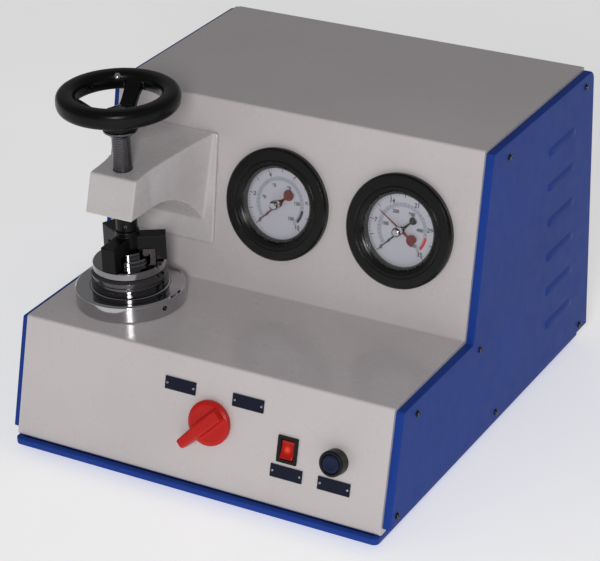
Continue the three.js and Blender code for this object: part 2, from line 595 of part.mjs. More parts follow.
function makeDrive() {
  const { x0, x1, hub, hubX, wheelTeeth, pinionTeeth } = GEAR;
  const spread = GEAR.module * (wheelTeeth + pinionTeeth) / 2;
  const motorY = CYLINDER.y + spread;
  const wheel = cut(
    join(slab(gearOutline(wheelTeeth), x0, x1), disc(hub, x0, hubX)),
    disc(SCREW.radius + GAP, x0 - 5, hubX + 5));
  // The wheel shows a tooth towards the pinion, and the pinion a gap towards the wheel.
  part('drive_gear', 'brass', layAlongX(wheel, CYLINDER.y, PRESS_Z));
  const halfTooth = Math.PI / pinionTeeth;
  const teeth = slab(gearOutline(pinionTeeth), x0, x1).rotateZ(halfTooth);
  const shaft = disc(MOTOR.shaft, x0, MOTOR.x0 - GAP);
  part('motor_pinion', 'steel', layAlongX(join(teeth, shaft), motorY, PRESS_Z));

  const stand = box(117, 123.5, CYLINDER.y - 34, motorY + 34, 10.3, PRESS_Z + 34);
  part('gear_bracket', 'aluminium', cut(
    stand,
    layAlongX(disc(hub + GAP, 100, 140), CYLINDER.y, PRESS_Z),
    layAlongX(disc(MOTOR.shaft + 1, 100, 140, 24), motorY, PRESS_Z)));
  const can = turned([[0, MOTOR.x0], [22, MOTOR.x0], [22, MOTOR.x0 + 26], [MOTOR.radius, MOTOR.x0 + 26],
    [MOTOR.radius, MOTOR.x1 - 2], [MOTOR.radius - 2, MOTOR.x1], [0, MOTOR.x1]]);
  part('gear_motor', 'iron', layAlongX(can, motorY, PRESS_Z));
}

function makePress() {
  const { x0, x1, wall, bore, y } = CYLINDER;
  const barrel = layAlongX(disc(wall, x0, x1), y, PRESS_Z);
  const feet = box(x0 + 10, x1 - 10, y - 30, y + 30, 10.3, PRESS_Z - 15);
  const inside = layAlongX(disc(bore, x0 + 12, x1 + 5), y, PRESS_Z);
  const port = layAlongX(disc(2.4, x0 - 5, x0 + 20, 12), y, PRESS_Z);
  const arch = box(x0 + 20, x1 - 20, y - 40, y + 40, 5, PRESS_Z - wall - 6);
  part('pressure_cylinder', 'steel', cut(join(barrel, feet), inside, port, arch));
  part('piston', 'aluminium', layAlongX(disc(PISTON.radius, PISTON.x0, PISTON.x1), y, PRESS_Z));
  part('piston_screw', 'steel', layAlongX(disc(SCREW.radius, PISTON.x1 + GAP, SCREW.x1), y, PRESS_Z));
}

function pipe(name, points, radius = 2.2) {
  const route = new THREE.CatmullRomCurve3(points.map((p) => new THREE.Vector3(...p)), false, 'centripetal');
  const sides = 6;
  const corners = Array.from({ length: sides }, (_, k) => new THREE.Vector2(radius, 0)
    .rotateAround(new THREE.Vector2(), 2 * Math.PI * k / sides));
  const settings = { steps: 20, extrudePath: route, bevelEnabled: false };
  part(name, 'brass', new THREE.ExtrudeGeometry(new THREE.Shape(corners), settings));
}

function makePipes() {
  const head = CYLINDER.x0 - GAP;
  pipe('chamber_pipe', [
    [head, CYLINDER.y, PRESS_Z], [head - 9, CYLINDER.y, PRESS_Z - 3],
    [head - 18, CYLINDER.y - 8, PRESS_Z - 20], [CLAMP.x + 22, CLAMP.y, PRESS_Z - 34],
    [CLAMP.x + 4, CLAMP.y, PRESS_Z - 26], [CLAMP.x, CLAMP.y, PRESS_Z - 12],
    [CLAMP.x, CLAMP.y, CHAMBER.z0 - GAP]]);
  ['left', 'right'].forEach((side, i) => {
    const port = new THREE.Vector3(GAUGE.x[i], GAUGE.s - 30, -GAUGE.depth - GAP);
    port.applyMatrix4(gaugePanel.matrix);
    const start = [-45 + 14 * i, CYLINDER.y + 6 * i, PRESS_Z + CYLINDER.wall + 3];
    pipe(`${side}_gauge_pipe`, [
      start, [start[0], start[1] + 6, 134], [start[0] + 4, start[1] + 50, 138],
      [port.x - 8, 20 + 20 * i, 150], [port.x, port.y + 34, port.z - 18], [port.x, port.y + 14, port.z - 3.2],
      [port.x, port.y, port.z]]);
  });
}

makeTray();
makeWrapCover();
makeSideCover('left_side_cover', -1);
makeSideCover('right_side_cover', 1);
makeRearPanel();
makePressFrame();
makeChamber();
makeClampRings();
makeTripod();
makeSpindle();
makeHandwheel();
makeGauge('left', GAUGE.x[0], MAX_HAND_REST[0]);
makeGauge('right', GAUGE.x[1], MAX_HAND_REST[1]);
makeControls();
makeDrive();
makePress();
makePipes();
part('power_supply', 'aluminium', box(SUPPLY.x0, SUPPLY.x1, SUPPLY.y0, SUPPLY.y1, SUPPLY.z0, SUPPLY.z1));

export default group;
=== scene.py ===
"""Looks of the bench bursting-strength tester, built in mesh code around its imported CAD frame.

Shapes are drawn in millimetres, in the part's frame or in the frame of one of its sloping panels,
and are scaled to metres when they become pieces.
"""
import json
import math

import bmesh
import bpy
from mathutils import Matrix, Vector


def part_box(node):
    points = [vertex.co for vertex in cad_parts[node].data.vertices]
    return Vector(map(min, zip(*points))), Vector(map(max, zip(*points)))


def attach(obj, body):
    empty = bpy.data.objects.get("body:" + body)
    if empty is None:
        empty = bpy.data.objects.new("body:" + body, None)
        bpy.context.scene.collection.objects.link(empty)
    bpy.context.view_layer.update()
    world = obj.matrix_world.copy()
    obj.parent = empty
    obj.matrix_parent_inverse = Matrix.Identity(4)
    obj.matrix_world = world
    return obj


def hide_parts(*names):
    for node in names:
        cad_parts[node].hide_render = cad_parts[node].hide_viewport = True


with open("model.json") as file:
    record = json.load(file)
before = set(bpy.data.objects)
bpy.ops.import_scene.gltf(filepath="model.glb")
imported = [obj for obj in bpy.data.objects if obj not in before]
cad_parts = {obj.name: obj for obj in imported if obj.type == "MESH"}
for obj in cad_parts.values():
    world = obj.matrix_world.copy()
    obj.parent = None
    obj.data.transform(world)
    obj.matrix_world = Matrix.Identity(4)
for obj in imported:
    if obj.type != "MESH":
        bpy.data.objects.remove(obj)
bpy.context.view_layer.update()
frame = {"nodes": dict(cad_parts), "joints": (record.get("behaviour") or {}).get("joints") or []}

# ---- driving dimensions, in millimetres
MM = 0.001
TINY = 1e-6
GAP = 0.3                       # clearance between pieces that touch
SHEET = 2.0                     # casing sheet
BEND = 3.0                      # bend radius of the casing
LIP = 14.0                      # return lips of the casing
CHAMBER_HOLE = 30.3             # radius of the hole that the pressure chamber stands in
RING_BORE = 15.25               # radius of the hole in both clamp rings
ROUND = 96                      # facets round a large turned piece
SMALL_ROUND = 40                # facets round a small turned piece

NODES = frame["nodes"]
JOINTS = {joint["name"]: joint for joint in frame["joints"]}


def at(x, y, z):
    return Matrix.Translation((x, y, z))


def turn_by(degrees, axis):
    return Matrix.Rotation(math.radians(degrees), 4, axis)


def box_of(node):
    """Lowest and highest corner of a CAD node, in millimetres."""
    low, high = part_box(node)
    return low / MM, high / MM


def middle_of(node):
    """Mean of a CAD node's corners, in millimetres: a turned or symmetric node's axis passes through it."""
    corners = [vertex.co for vertex in NODES[node].data.vertices]
    return sum(corners, Vector()) / len(corners) / MM


def panel_frame(origin, outward):
    """Frame of a sloping panel: local X to the right, Y up the slope and Z outward."""
    out = outward.normalized()
    right = Vector((1, 0, 0))
    up = out.cross(right)
    turn = Matrix((right, up, out)).transposed().to_4x4()
    return Matrix.Translation(origin) @ turn


WRAP_LOW, WRAP_HIGH = box_of("wrap_cover")
TRAY_LOW, TRAY_HIGH = box_of("base_tray")
FLANGE_LOW, FLANGE_HIGH = box_of("clamp_flange")
CLAMP = (FLANGE_LOW + FLANGE_HIGH) / 2
CLAMP.z = 0
AT_CLAMP = Matrix.Translation(CLAMP)
DECK_Z = FLANGE_LOW.z - GAP

CONTROL_PANEL = panel_frame(
    Vector(JOINTS["selector_turn"]["pos_m"]) / MM, Vector(JOINTS["selector_turn"]["axis"]))
GAUGES = {
    side: panel_frame(
        Vector(JOINTS[side + "_max_hand_turn"]["pos_m"]) / MM,
        -Vector(JOINTS[side + "_max_hand_turn"]["axis"]))
    for side in ("left", "right")
}
GAUGE_PANEL = GAUGES["left"]
AT_NECK = GAUGE_PANEL @ at((GAUGE_PANEL.inverted() @ Vector((CLAMP.x, 0, 0))).x, 0, 0)


def on_panel(panel, node):
    """Panel frame moved to stand under a CAD node, still on the panel's surface."""
    x, y, _ = panel.inverted() @ middle_of(node)
    return panel @ at(x, y, 0)


def slope_point(panel, z):
    """(y, z) where the panel's line of steepest slope passes the height z."""
    start = panel.translation
    up = panel.col[1]
    return start.y + up.y * (z - start.z) / up.z, z


CASING_LINE = [
    slope_point(CONTROL_PANEL, WRAP_LOW.z),
    slope_point(CONTROL_PANEL, DECK_Z),
    slope_point(GAUGE_PANEL, DECK_Z),
    slope_point(GAUGE_PANEL, WRAP_HIGH.z),
    (WRAP_HIGH.y, WRAP_HIGH.z),
]

# Stands a shape drawn in (x, y) along X: its x becomes world Y and its y becomes world Z.
ALONG_X = Matrix(((0, 0, 1, 0), (1, 0, 0, 0), (0, 1, 0, 0), (0, 0, 0, 1)))


# ---- outlines
def rounded(points, radius, steps=5, loop=True):
    """Replaces the corners of a polyline by arcs, smaller where an edge is short."""
    count = len(points)
    result = []
    for i, point in enumerate(points):
        if not loop and i in (0, count - 1):
            result.append(tuple(point))
            continue
        here = Vector(point)
        before = Vector(points[i - 1]) - here
        after = Vector(points[(i + 1) % count]) - here
        half = before.angle(after) / 2
        if half > math.radians(88) or half < math.radians(1):
            result.append(tuple(point))
            continue
        reach = min(radius / math.tan(half), 0.48 * before.length, 0.48 * after.length)
        size = reach * math.tan(half)
        inward = (before.normalized() + after.normalized()).normalized()
        centre = here + inward * (size / math.sin(half))
        start = here + before.normalized() * reach - centre
        end = here + after.normalized() * reach - centre
        sweep = math.atan2(start.x * end.y - start.y * end.x, start.dot(end))
        for k in range(steps + 1):
            turn = sweep * k / steps
            c, s = math.cos(turn), math.sin(turn)
            result.append((centre.x + c * start.x - s * start.y, centre.y + s * start.x + c * start.y))
    return result


def offset(points, distance, loop=False):
    """Moves a polyline to the right of its direction of travel, with mitred corners."""
    count = len(points)

    def normal(i, j):
        along = (Vector(points[j]) - Vector(points[i])).normalized()
        return Vector((along.y, -along.x))

    moved_points = []
    for i, point in enumerate(points):
        before = normal(i - 1, i) if loop or i > 0 else normal(i, i + 1)
        after = normal(i, (i + 1) % count) if loop or i < count - 1 else normal(i - 1, i)
        shift = (before + after) * (distance / (1 + before.dot(after)))
        moved_points.append((point[0] + shift.x, point[1] + shift.y))
    return moved_points


def rectangle(width, height, radius=0.0, steps=5):
    w, h = width / 2, height / 2
    corners = [(w, -h), (w, h), (-w, h), (-w, -h)]
    return rounded(corners, radius, steps) if radius else corners


def circle(radius, count):
    return [(radius * math.cos(2 * math.pi * k / count), radius * math.sin(2 * math.pi * k / count))
            for k in range(count)]


def quarter(steps):
    """Angles from 0 to a right angle, in equal steps."""
    return [math.pi / 2 * k / steps for k in range(steps + 1)]


def dome(radius, low, high, steps=8):
    """Points up a quarter ellipse, from just after its start to the axis."""
    curve = [(radius * math.cos(t), low + (high - low) * math.sin(t)) for t in quarter(steps)[1:-1]]
    return [*curve, (0, high)]


# ---- meshes
def linked(name, data):
    """A new object in the scene."""
    made = bpy.data.objects.new(name, data)
    bpy.context.scene.collection.objects.link(made)
    return made


def mesh_object(name, vertices, faces):
    mesh = bpy.data.meshes.new(name)
    mesh.from_pydata([tuple(v) for v in vertices], [], faces)
    shape = linked(name, mesh)
    tidy = bmesh.new()
    tidy.from_mesh(mesh)
    bmesh.ops.remove_doubles(tidy, verts=tidy.verts, dist=1e-4)
    bmesh.ops.recalc_face_normals(tidy, faces=tidy.faces)
    tidy.to_mesh(mesh)
    tidy.free()
    return shape


def loft(name, rings):
    """Joins closed rings of points in turn and caps the two ends."""
    count = len(rings[0])
    vertices = [point for ring in rings for point in ring]
    faces = [list(range(count)), list(range(len(vertices) - count, len(vertices)))]
    for i in range(len(rings) - 1):
        for k in range(count):
            j = (k + 1) % count
            faces.append([i * count + k, i * count + j, (i + 1) * count + j, (i + 1) * count + k])
    return mesh_object(name, vertices, faces)


def layered(name, outline, levels):
    """Lofts an outline, moved inward by each level's inset, through the heights in levels."""
    rings = []
    for inset, height in levels:
        ring = offset(outline, -inset, loop=True) if inset else outline
        rings.append([(x, y, height) for x, y in ring])
    return loft(name, rings)


def prism(name, outline, low, high, edge=0.0):
    """Extrudes an outline from low to high, with its end edges rounded."""
    if not edge:
        return layered(name, outline, [(0, low), (0, high)])
    arc = [(edge * (1 - math.sin(t)), edge * (1 - math.cos(t))) for t in quarter(3)]
    bottom = [(inset, low + rise) for inset, rise in arc]
    top = [(inset, high - rise) for inset, rise in reversed(arc)]
    return layered(name, outline, bottom + top)


def block(name, x0, x1, y0, y1, z0, z1):
    return prism(name, [(x1, y0), (x1, y1), (x0, y1), (x0, y0)], z0, z1)


def lathe(name, profile, segments=ROUND):
    """Turns a profile of (radius, height) points about Z. Ends that are off the axis are joined."""
    vertices = []
    rings = []
    for radius, height in profile:
        start = len(vertices)
        if radius < TINY:
            vertices.append((0, 0, height))
            rings.append([start] * segments)
            continue
        vertices += [(x, y, height) for x, y in circle(radius, segments)]
        rings.append(list(range(start, start + segments)))
    pairs = list(zip(rings, rings[1:]))
    if profile[0][0] > TINY:
        pairs.append((rings[-1], rings[0]))
    faces = []
    for lower, upper in pairs:
        for k in range(segments):
            j = (k + 1) % segments
            corners = list(dict.fromkeys([lower[k], lower[j], upper[j], upper[k]]))
            if len(corners) > 2:
                faces.append(corners)
    return mesh_object(name, vertices, faces)


def cylinder(name, radius, low, high, segments=ROUND):
    return lathe(name, [(0, low), (radius, low), (radius, high), (0, high)], segments)


def moved(shape, matrix):
    shape.data.transform(matrix)
    if matrix.determinant() < 0:
        shape.data.flip_normals()
    return shape


def turned_about_z(shape, degrees):
    return moved(shape, turn_by(degrees, "Z"))


def shifted(shape, x=0.0, y=0.0, z=0.0):
    return moved(shape, at(x, y, z))


def evaluated_mesh(shape):
    graph = bpy.context.evaluated_depsgraph_get()
    return bpy.data.meshes.new_from_object(shape.evaluated_get(graph))


def applied(shape):
    """Bakes a shape's modifiers into its mesh."""
    mesh = evaluated_mesh(shape)
    shape.modifiers.clear()
    shape.data = mesh
    return shape


def combined(operation, shape, tools):
    for tool in tools:
        step = shape.modifiers.new("step", "BOOLEAN")
        step.operation = operation
        step.solver = "EXACT"
        step.object = tool
    applied(shape)
    for tool in tools:
        bpy.data.objects.remove(tool)
    return shape


def cut(shape, *tools):
    return combined("DIFFERENCE", shape, tools)


def joined(shape, *tools):
    return combined("UNION", shape, tools)


def common(shape, tool):
    return combined("INTERSECT", shape, [tool])


def softened(shape, voxel, rounds):
    """Remeshes a shape evenly and smooths it, which leaves cast fillets where its faces meet."""
    remesh = shape.modifiers.new("remesh", "REMESH")
    remesh.mode = "VOXEL"
    remesh.voxel_size = voxel
    smooth = shape.modifiers.new("smooth", "SMOOTH")
    smooth.factor = 0.5
    smooth.iterations = rounds
    return applied(shape)


def edged(shape, width):
    """Rounds every sharp edge a little."""
    bevel = shape.modifiers.new("bevel", "BEVEL")
    bevel.width = width
    bevel.segments = 2
    bevel.limit_method = "ANGLE"
    bevel.angle_limit = math.radians(32)
    return applied(shape)


def merged(name, shapes):
    """One object that holds several separate closed bodies."""
    whole = bmesh.new()
    for shape in shapes:
        whole.from_mesh(shape.data)
        bpy.data.objects.remove(shape)
    mesh = bpy.data.meshes.new(name)
    whole.to_mesh(mesh)
    whole.free()
    return linked(name, mesh)


# ---- materials
def srgb(red, green, blue):
    """Linear colour of an 8-bit sRGB one."""
    def linear(value):
        share = value / 255
        return share / 12.92 if share <= 0.04045 else ((share + 0.055) / 1.055) ** 2.4
    return linear(red), linear(green), linear(blue), 1.0


class Finish:
    """A procedural material on one Principled shader, written node by node."""

    def __init__(self, name):
        self.name = name
        self.material = bpy.data.materials.new(name)
        self.material.use_nodes = True
        self.tree = self.material.node_tree
        self.shader = self.tree.nodes["Principled BSDF"]
        self.place = self.add("TexCoord").outputs["Object"]

    def add(self, kind, inputs=None, **settings):
        made = self.tree.nodes.new("ShaderNode" + kind)
        for key, value in settings.items():
            setattr(made, key, value)
        for socket, value in (inputs or {}).items():
            self.put(made.inputs[socket], value)
        return made

    def put(self, socket, value):
        if isinstance(value, bpy.types.NodeSocket):
            self.tree.links.new(value, socket)
        else:
            socket.default_value = value

    def noise(self, scale, detail=3.0, roughness=0.55):
        inputs = {"Vector": self.place, "Scale": scale, "Detail": detail, "Roughness": roughness}
        return self.add("TexNoise", inputs).outputs["Fac"]

    def spread(self, value, low, high, start=0.3, end=0.7):
        inputs = {"Value": value, "From Min": start, "From Max": end, "To Min": low, "To Max": high}
        return self.add("MapRange", inputs).outputs["Result"]

    def mixed(self, factor, first, second):
        node = self.add("Mix", data_type="RGBA")
        self.put(node.inputs[0], factor)
        self.put(node.inputs[6], first)
        self.put(node.inputs[7], second)
        return node.outputs[2]

    def times(self, first, second):
        return self.add("Math", {0: first, 1: second}, operation="MULTIPLY").outputs[0]

    def edges(self, width):
        """1 on sharp outer edges and 0 away from them, where a rounded normal agrees with the true one."""
        round_normal = self.add("Bevel", {"Radius": width * MM}, samples=4).outputs["Normal"]
        true_normal = self.add("NewGeometry").outputs["Normal"]
        lean = self.add("VectorMath", {0: round_normal, 1: true_normal}, operation="DOT_PRODUCT")
        return self.spread(lean.outputs["Value"], 1.0, 0.0, 0.86, 0.985)

    def rings(self, centre, scale):
        """Turning marks: noise over the distance from a vertical axis plus the height."""
        apart = self.add("VectorMath", {0: self.place, 1: tuple(centre * MM)}, operation="SUBTRACT")
        split = self.add("SeparateXYZ", {0: apart.outputs[0]})
        flat = self.add("CombineXYZ", {0: split.outputs[0], 1: split.outputs[1]}).outputs[0]
        radius = self.add("VectorMath", {0: flat}, operation="LENGTH").outputs["Value"]
        run = self.add("Math", {0: radius, 1: split.outputs[2]}, operation="ADD").outputs[0]
        inputs = {"W": run, "Scale": scale, "Detail": 2.0}
        return self.add("TexNoise", inputs, noise_dimensions="1D").outputs["Fac"]

    def bump(self, heights):
        """Chains bumps, each a (height, depth in millimetres, strength)."""
        normal = None
        for height, depth, strength in heights:
            inputs = {"Height": height, "Distance": depth * MM, "Strength": strength}
            if normal is not None:
                inputs["Normal"] = normal
            normal = self.add("Bump", inputs).outputs["Normal"]
        self.put(self.shader.inputs["Normal"], normal)


def surface(name, colour, roughness, metallic=0.0, vary=0.08, rough_vary=0.06, grain=(900, 0.02, 0.3),
            broad=12.0, rub_and_highlight_colour=None, rub_and_highlight_share=0.5, rub_and_highlight_width=0.8, coat=0.0, shine=0.5, turned=None):
    """A finish with cloudy colour and gloss, a fine grain, lighter edges that are partly rubbed wear and
    partly a painted edge highlight and, on turned metal, turning marks.

    grain holds the scale, depth in millimetres and strength of the fine relief, and turned the axis.
    """
    look = Finish(name)
    base = srgb(*colour)
    dark = tuple(c * (1 - vary) for c in base[:3]) + (1.0,)
    light = tuple(min(1.0, c * (1 + vary)) for c in base[:3]) + (1.0,)
    clouds = look.noise(broad)
    paint = look.mixed(look.spread(clouds, 0.0, 1.0), dark, light)
    fine = look.noise(grain[0])
    smudges = look.noise(broad * 5, 5.0, 0.65)
    rough = look.spread(smudges, max(0.02, roughness - rough_vary), roughness + rough_vary)
    heights = [(fine, grain[1], grain[2])]
    if turned is not None:
        heights.append((look.rings(turned, 2600), 0.02, 0.35))
    # Painted highlight and wear: the edge colour is lighter than the base on every look, so sharp edges are
    # lightened in patches, partly as rubbed wear and partly as a painted edge highlight.
    if rub_and_highlight_colour is not None:
        edge_patches = look.spread(look.noise(140, 4.0), 0.0, 1.0, 0.42, 0.62)
        rub_and_highlight_mask = look.times(look.times(look.edges(rub_and_highlight_width), edge_patches), rub_and_highlight_share)
        paint = look.mixed(rub_and_highlight_mask, paint, srgb(*rub_and_highlight_colour))
    look.put(look.shader.inputs["Base Color"], paint)
    look.put(look.shader.inputs["Roughness"], rough)
    look.shader.inputs["Metallic"].default_value = metallic
    look.shader.inputs["Specular IOR Level"].default_value = shine
    look.shader.inputs["Coat Weight"].default_value = coat
    look.shader.inputs["Coat Roughness"].default_value = 0.08
    look.bump(heights)
    return look


def lit_lens():
    """Red lens of the mains rocker, which glows round its lamp."""
    look = surface("lit_red", (176, 20, 14), 0.16, vary=0.1, grain=(1500, 0.01, 0.2), coat=0.2, shine=0.3)
    lamp = middle_of("rocker") * MM
    apart = look.add("VectorMath", {0: look.place, 1: tuple(lamp)}, operation="DISTANCE").outputs["Value"]
    glow = look.spread(apart, 1.0, 0.0, 0.001, 0.0085)
    hot = look.mixed(look.times(glow, glow), srgb(190, 12, 8), srgb(255, 120, 78))
    strength = look.spread(look.times(glow, glow), 0.03, 0.9, 0.0, 1.0)
    look.put(look.shader.inputs["Emission Color"], hot)
    look.put(look.shader.inputs["Emission Strength"], strength)
    return look


def pane():
    """Gauge glass: clear, with faint dust in its gloss."""
    look = Finish("gauge_glass")
    look.shader.inputs["Base Color"].default_value = (0.97, 0.985, 0.98, 1.0)
    look.shader.inputs["Transmission Weight"].default_value = 1.0
    look.shader.inputs["IOR"].default_value = 1.35
    look.put(look.shader.inputs["Roughness"], look.spread(look.noise(90, 4.0), 0.01, 0.05))
    look.bump([(look.noise(30), 0.004, 0.1)])
    return look


TURNED_CHROME = {"metallic": 1.0, "broad": 30, "rub_and_highlight_width": 0.5, "turned": CLAMP}

LOOKS = [
    surface("white_enamel", (210, 203, 203), 0.3, vary=0.035, rough_vary=0.07, grain=(520, 0.05, 0.14),
            broad=7, rub_and_highlight_colour=(236, 232, 226), rub_and_highlight_share=0.6, rub_and_highlight_width=1.2, coat=0.25),
    surface("white_casting", (212, 206, 206), 0.26, vary=0.04, rough_vary=0.07, grain=(240, 0.12, 0.16),
            broad=16, rub_and_highlight_colour=(238, 234, 229), rub_and_highlight_share=0.55, rub_and_highlight_width=1.6, coat=0.35),
    surface("blue_enamel", (34, 66, 150), 0.36, vary=0.07, rough_vary=0.07, grain=(560, 0.05, 0.2),
            broad=9, rub_and_highlight_colour=(84, 110, 168), rub_and_highlight_share=0.3, rub_and_highlight_width=1.0, shine=0.06),
    surface("bright_chrome", (186, 185, 188), 0.07, vary=0.03, rough_vary=0.03, grain=(1400, 0.006, 0.15),
            rub_and_highlight_colour=(250, 250, 250), rub_and_highlight_share=0.4, **TURNED_CHROME),
    # Painted shade: a darker copy of bright_chrome, used on the upper clamp ring, whose slot stays
    # bright_chrome.
    surface("shaded_chrome", (146, 144, 147), 0.08, vary=0.05, rough_vary=0.03, grain=(1400, 0.006, 0.15),
            rub_and_highlight_colour=(236, 235, 237), rub_and_highlight_share=0.7, **TURNED_CHROME),
    surface("dark_chrome", (92, 90, 93), 0.1, vary=0.1, rough_vary=0.05, grain=(1400, 0.01, 0.2),
            rub_and_highlight_colour=(215, 213, 214), rub_and_highlight_share=0.8, **TURNED_CHROME),
    surface("black_metal", (11, 11, 12), 0.34, vary=0.2, rough_vary=0.08, grain=(800, 0.03, 0.25),
            broad=35, rub_and_highlight_colour=(48, 49, 52), rub_and_highlight_width=0.7, shine=0.2),
    surface("black_handwheel", (9, 9, 10), 0.28, vary=0.2, rough_vary=0.07, grain=(420, 0.05, 0.16),
            broad=20, rub_and_highlight_colour=(34, 34, 36), rub_and_highlight_share=0.3, rub_and_highlight_width=2.0, shine=0.18),
    surface("gauge_black", (10, 10, 10), 0.24, vary=0.2, rough_vary=0.08, grain=(900, 0.02, 0.2),
            broad=24, rub_and_highlight_colour=(52, 52, 54), rub_and_highlight_share=0.4, rub_and_highlight_width=0.6, shine=0.3),
    surface("black_plastic", (14, 14, 15), 0.38, vary=0.15, grain=(1300, 0.03, 0.35), broad=40,
            rub_and_highlight_colour=(50, 50, 54), rub_and_highlight_share=0.4, rub_and_highlight_width=0.4, shine=0.3),
    surface("navy_plastic", (18, 27, 62), 0.36, vary=0.14, grain=(1300, 0.03, 0.3), broad=60,
            rub_and_highlight_colour=(52, 62, 98), rub_and_highlight_width=0.4, shine=0.25),
    surface("red_plastic", (196, 24, 18), 0.3, vary=0.05, rough_vary=0.08, grain=(800, 0.03, 0.25),
            broad=40, rub_and_highlight_colour=(216, 84, 72), shine=0.3),
    lit_lens(),
    surface("label_plate", (16, 21, 44), 0.3, vary=0.12, grain=(1600, 0.015, 0.3), broad=80,
            rub_and_highlight_colour=(96, 100, 122), rub_and_highlight_share=0.7, rub_and_highlight_width=0.35, shine=0.2),
    surface("rubber_feet", (28, 28, 29), 0.8, vary=0.2, grain=(700, 0.08, 0.5), broad=60,
            rub_and_highlight_colour=(70, 70, 70), rub_and_highlight_share=0.6),
    surface("rubber_diaphragm", (36, 33, 31), 0.75, vary=0.2, grain=(900, 0.06, 0.5), broad=60),
    surface("machined_steel", (160, 162, 166), 0.3, metallic=1.0, grain=(1100, 0.02, 0.3),
            broad=30, rub_and_highlight_colour=(225, 225, 228), rub_and_highlight_share=0.6),
    surface("aluminium", (184, 186, 189), 0.38, metallic=1.0, vary=0.06, grain=(900, 0.03, 0.3),
            broad=20, rub_and_highlight_colour=(228, 229, 231), rub_and_highlight_share=0.6),
    surface("brass", (196, 158, 82), 0.3, metallic=1.0, vary=0.12, grain=(1000, 0.02, 0.3),
            broad=30, rub_and_highlight_colour=(238, 208, 130), rub_and_highlight_share=0.6),
    surface("copper_pipe", (188, 112, 78), 0.3, metallic=1.0, vary=0.16, broad=40),
    surface("grey_iron", (88, 92, 96), 0.62, metallic=0.3, vary=0.16, grain=(380, 0.15, 0.5), broad=24,
            rub_and_highlight_colour=(150, 152, 154)),
    surface("dial_white", (196, 194, 205), 0.5, vary=0.02, grain=(1200, 0.01, 0.2), broad=30),
    pane(),
    surface("needle_black", (18, 18, 20), 0.4, vary=0.2, grain=(1500, 0.01, 0.3), broad=80),
    surface("needle_red", (104, 17, 15), 0.42, vary=0.12, grain=(1500, 0.01, 0.3), broad=80),
    surface("dial_print", (44, 46, 56), 0.6, vary=0.15, grain=(1500, 0.01, 0.2), broad=80),
    surface("dial_band", (164, 166, 180), 0.55, vary=0.05, grain=(1500, 0.01, 0.2), broad=60),
    surface("zone_red", (206, 24, 26), 0.55, vary=0.1, grain=(1500, 0.01, 0.2), broad=80),
]
MATERIALS = {look.name: look.material for look in LOOKS}


def piece(shape, name, body, slot, *nodes, look=None, sharp=35):
    """Turns a drawn shape into a piece: metres, smooth shading, a finish from its look or else its slot, body
    and what it replaces.
    """
    moved(shape, Matrix.Scale(MM, 4))
    shape.name = name
    mesh = shape.data
    mesh.name = name
    mesh.materials.clear()
    mesh.materials.append(MATERIALS[look or slot])
    mesh.polygons.foreach_set("use_smooth", [True] * len(mesh.polygons))
    mesh.set_sharp_from_angle(angle=math.radians(sharp))
    weighted = shape.modifiers.new("normals", "WEIGHTED_NORMAL")
    weighted.keep_sharp = True
    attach(shape, body)
    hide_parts(*nodes)
    return shape


# ---- small fasteners
def screw_shape(radius, height, recess="cross"):
    """Pan-head screw along +Z with a driver recess, standing on z = 0."""
    crown = [(radius * math.sin(t), height * 0.35 + height * 0.65 * math.cos(t)) for t in quarter(6)[1:]]
    head = lathe("head", [(0, height), *crown, (radius, 0), (0, 0)], 28)
    arm, width = radius * 0.62, radius * 0.17
    floor_z, above_z = height * 0.45, height + 1
    tools = [block("slot", -arm, arm, -width, width, floor_z, above_z)]
    if recess == "cross":
        tools.append(block("slot", -width, width, -arm, arm, floor_z, above_z))
    return cut(head, *tools)


def put_screws(name, body, places, radius, height, recess="cross", turn_step=37.0, slot="machined_steel"):
    """One screw on each frame in places, each turned differently, as hands leave them."""
    for i, place in enumerate(places):
        head = turned_about_z(screw_shape(radius, height, recess), turn_step * i)
        piece(moved(head, place), f"{name}_{i + 1}", body, slot)


# ---- casing
def inset_line(distance, foot_z):
    """The casing's outline moved inward, with its front leg cut off level at foot_z."""
    line = offset(CASING_LINE, distance)
    (y0, z0), (y1, z1) = line[:2]
    line[0] = (y0 + (y1 - y0) * (foot_z - z0) / (z1 - z0), foot_z)
    return line


def make_wrap_cover():
    (front_y, sill_z), (back_y, top_z) = CASING_LINE[0], CASING_LINE[-1]
    path = rounded([(front_y + LIP, sill_z), *CASING_LINE, (back_y, top_z - LIP)], BEND, 8, loop=False)
    sheet_outline = offset(path, 0) + offset(path, SHEET)[::-1]
    half_width = WRAP_HIGH.x
    sheet = moved(prism("sheet", sheet_outline, -half_width, half_width), ALONG_X)
    foot = sill_z + SHEET / 2
    outer = rounded(inset_line(SHEET / 2, foot), BEND - SHEET / 2, 8, loop=False)
    lip_outline = outer + inset_line(LIP, foot)[::-1]
    lips = [
        moved(prism("lip", lip_outline, x, x + SHEET), ALONG_X)
        for x in (-half_width, half_width - SHEET)
    ]
    cover = joined(sheet, *lips)
    holes = [moved(cylinder("hole", CHAMBER_HOLE, -20, 20), at(CLAMP.x, CLAMP.y, DECK_Z))]
    for place in GAUGES.values():
        holes.append(moved(cylinder("hole", 50, -10, 10), place))
    holes.append(moved(block("hole", -50.2, 50.2, -58, 61.4, -10, 10), AT_NECK))
    holes.append(moved(cylinder("hole", 6, -10, 10, SMALL_ROUND), CONTROL_PANEL))
    button_hole = cylinder("hole", 9, -10, 10, SMALL_ROUND)
    holes.append(moved(button_hole, on_panel(CONTROL_PANEL, "button_cap")))
    rocker_hole = prism("hole", rectangle(22, 27, 1), -10, 10)
    holes.append(moved(rocker_hole, on_panel(CONTROL_PANEL, "rocker")))
    cover = edged(cut(cover, *holes), 0.35)
    piece(cover, "wrap_cover_skin", "housing", "white_enamel", "wrap_cover")


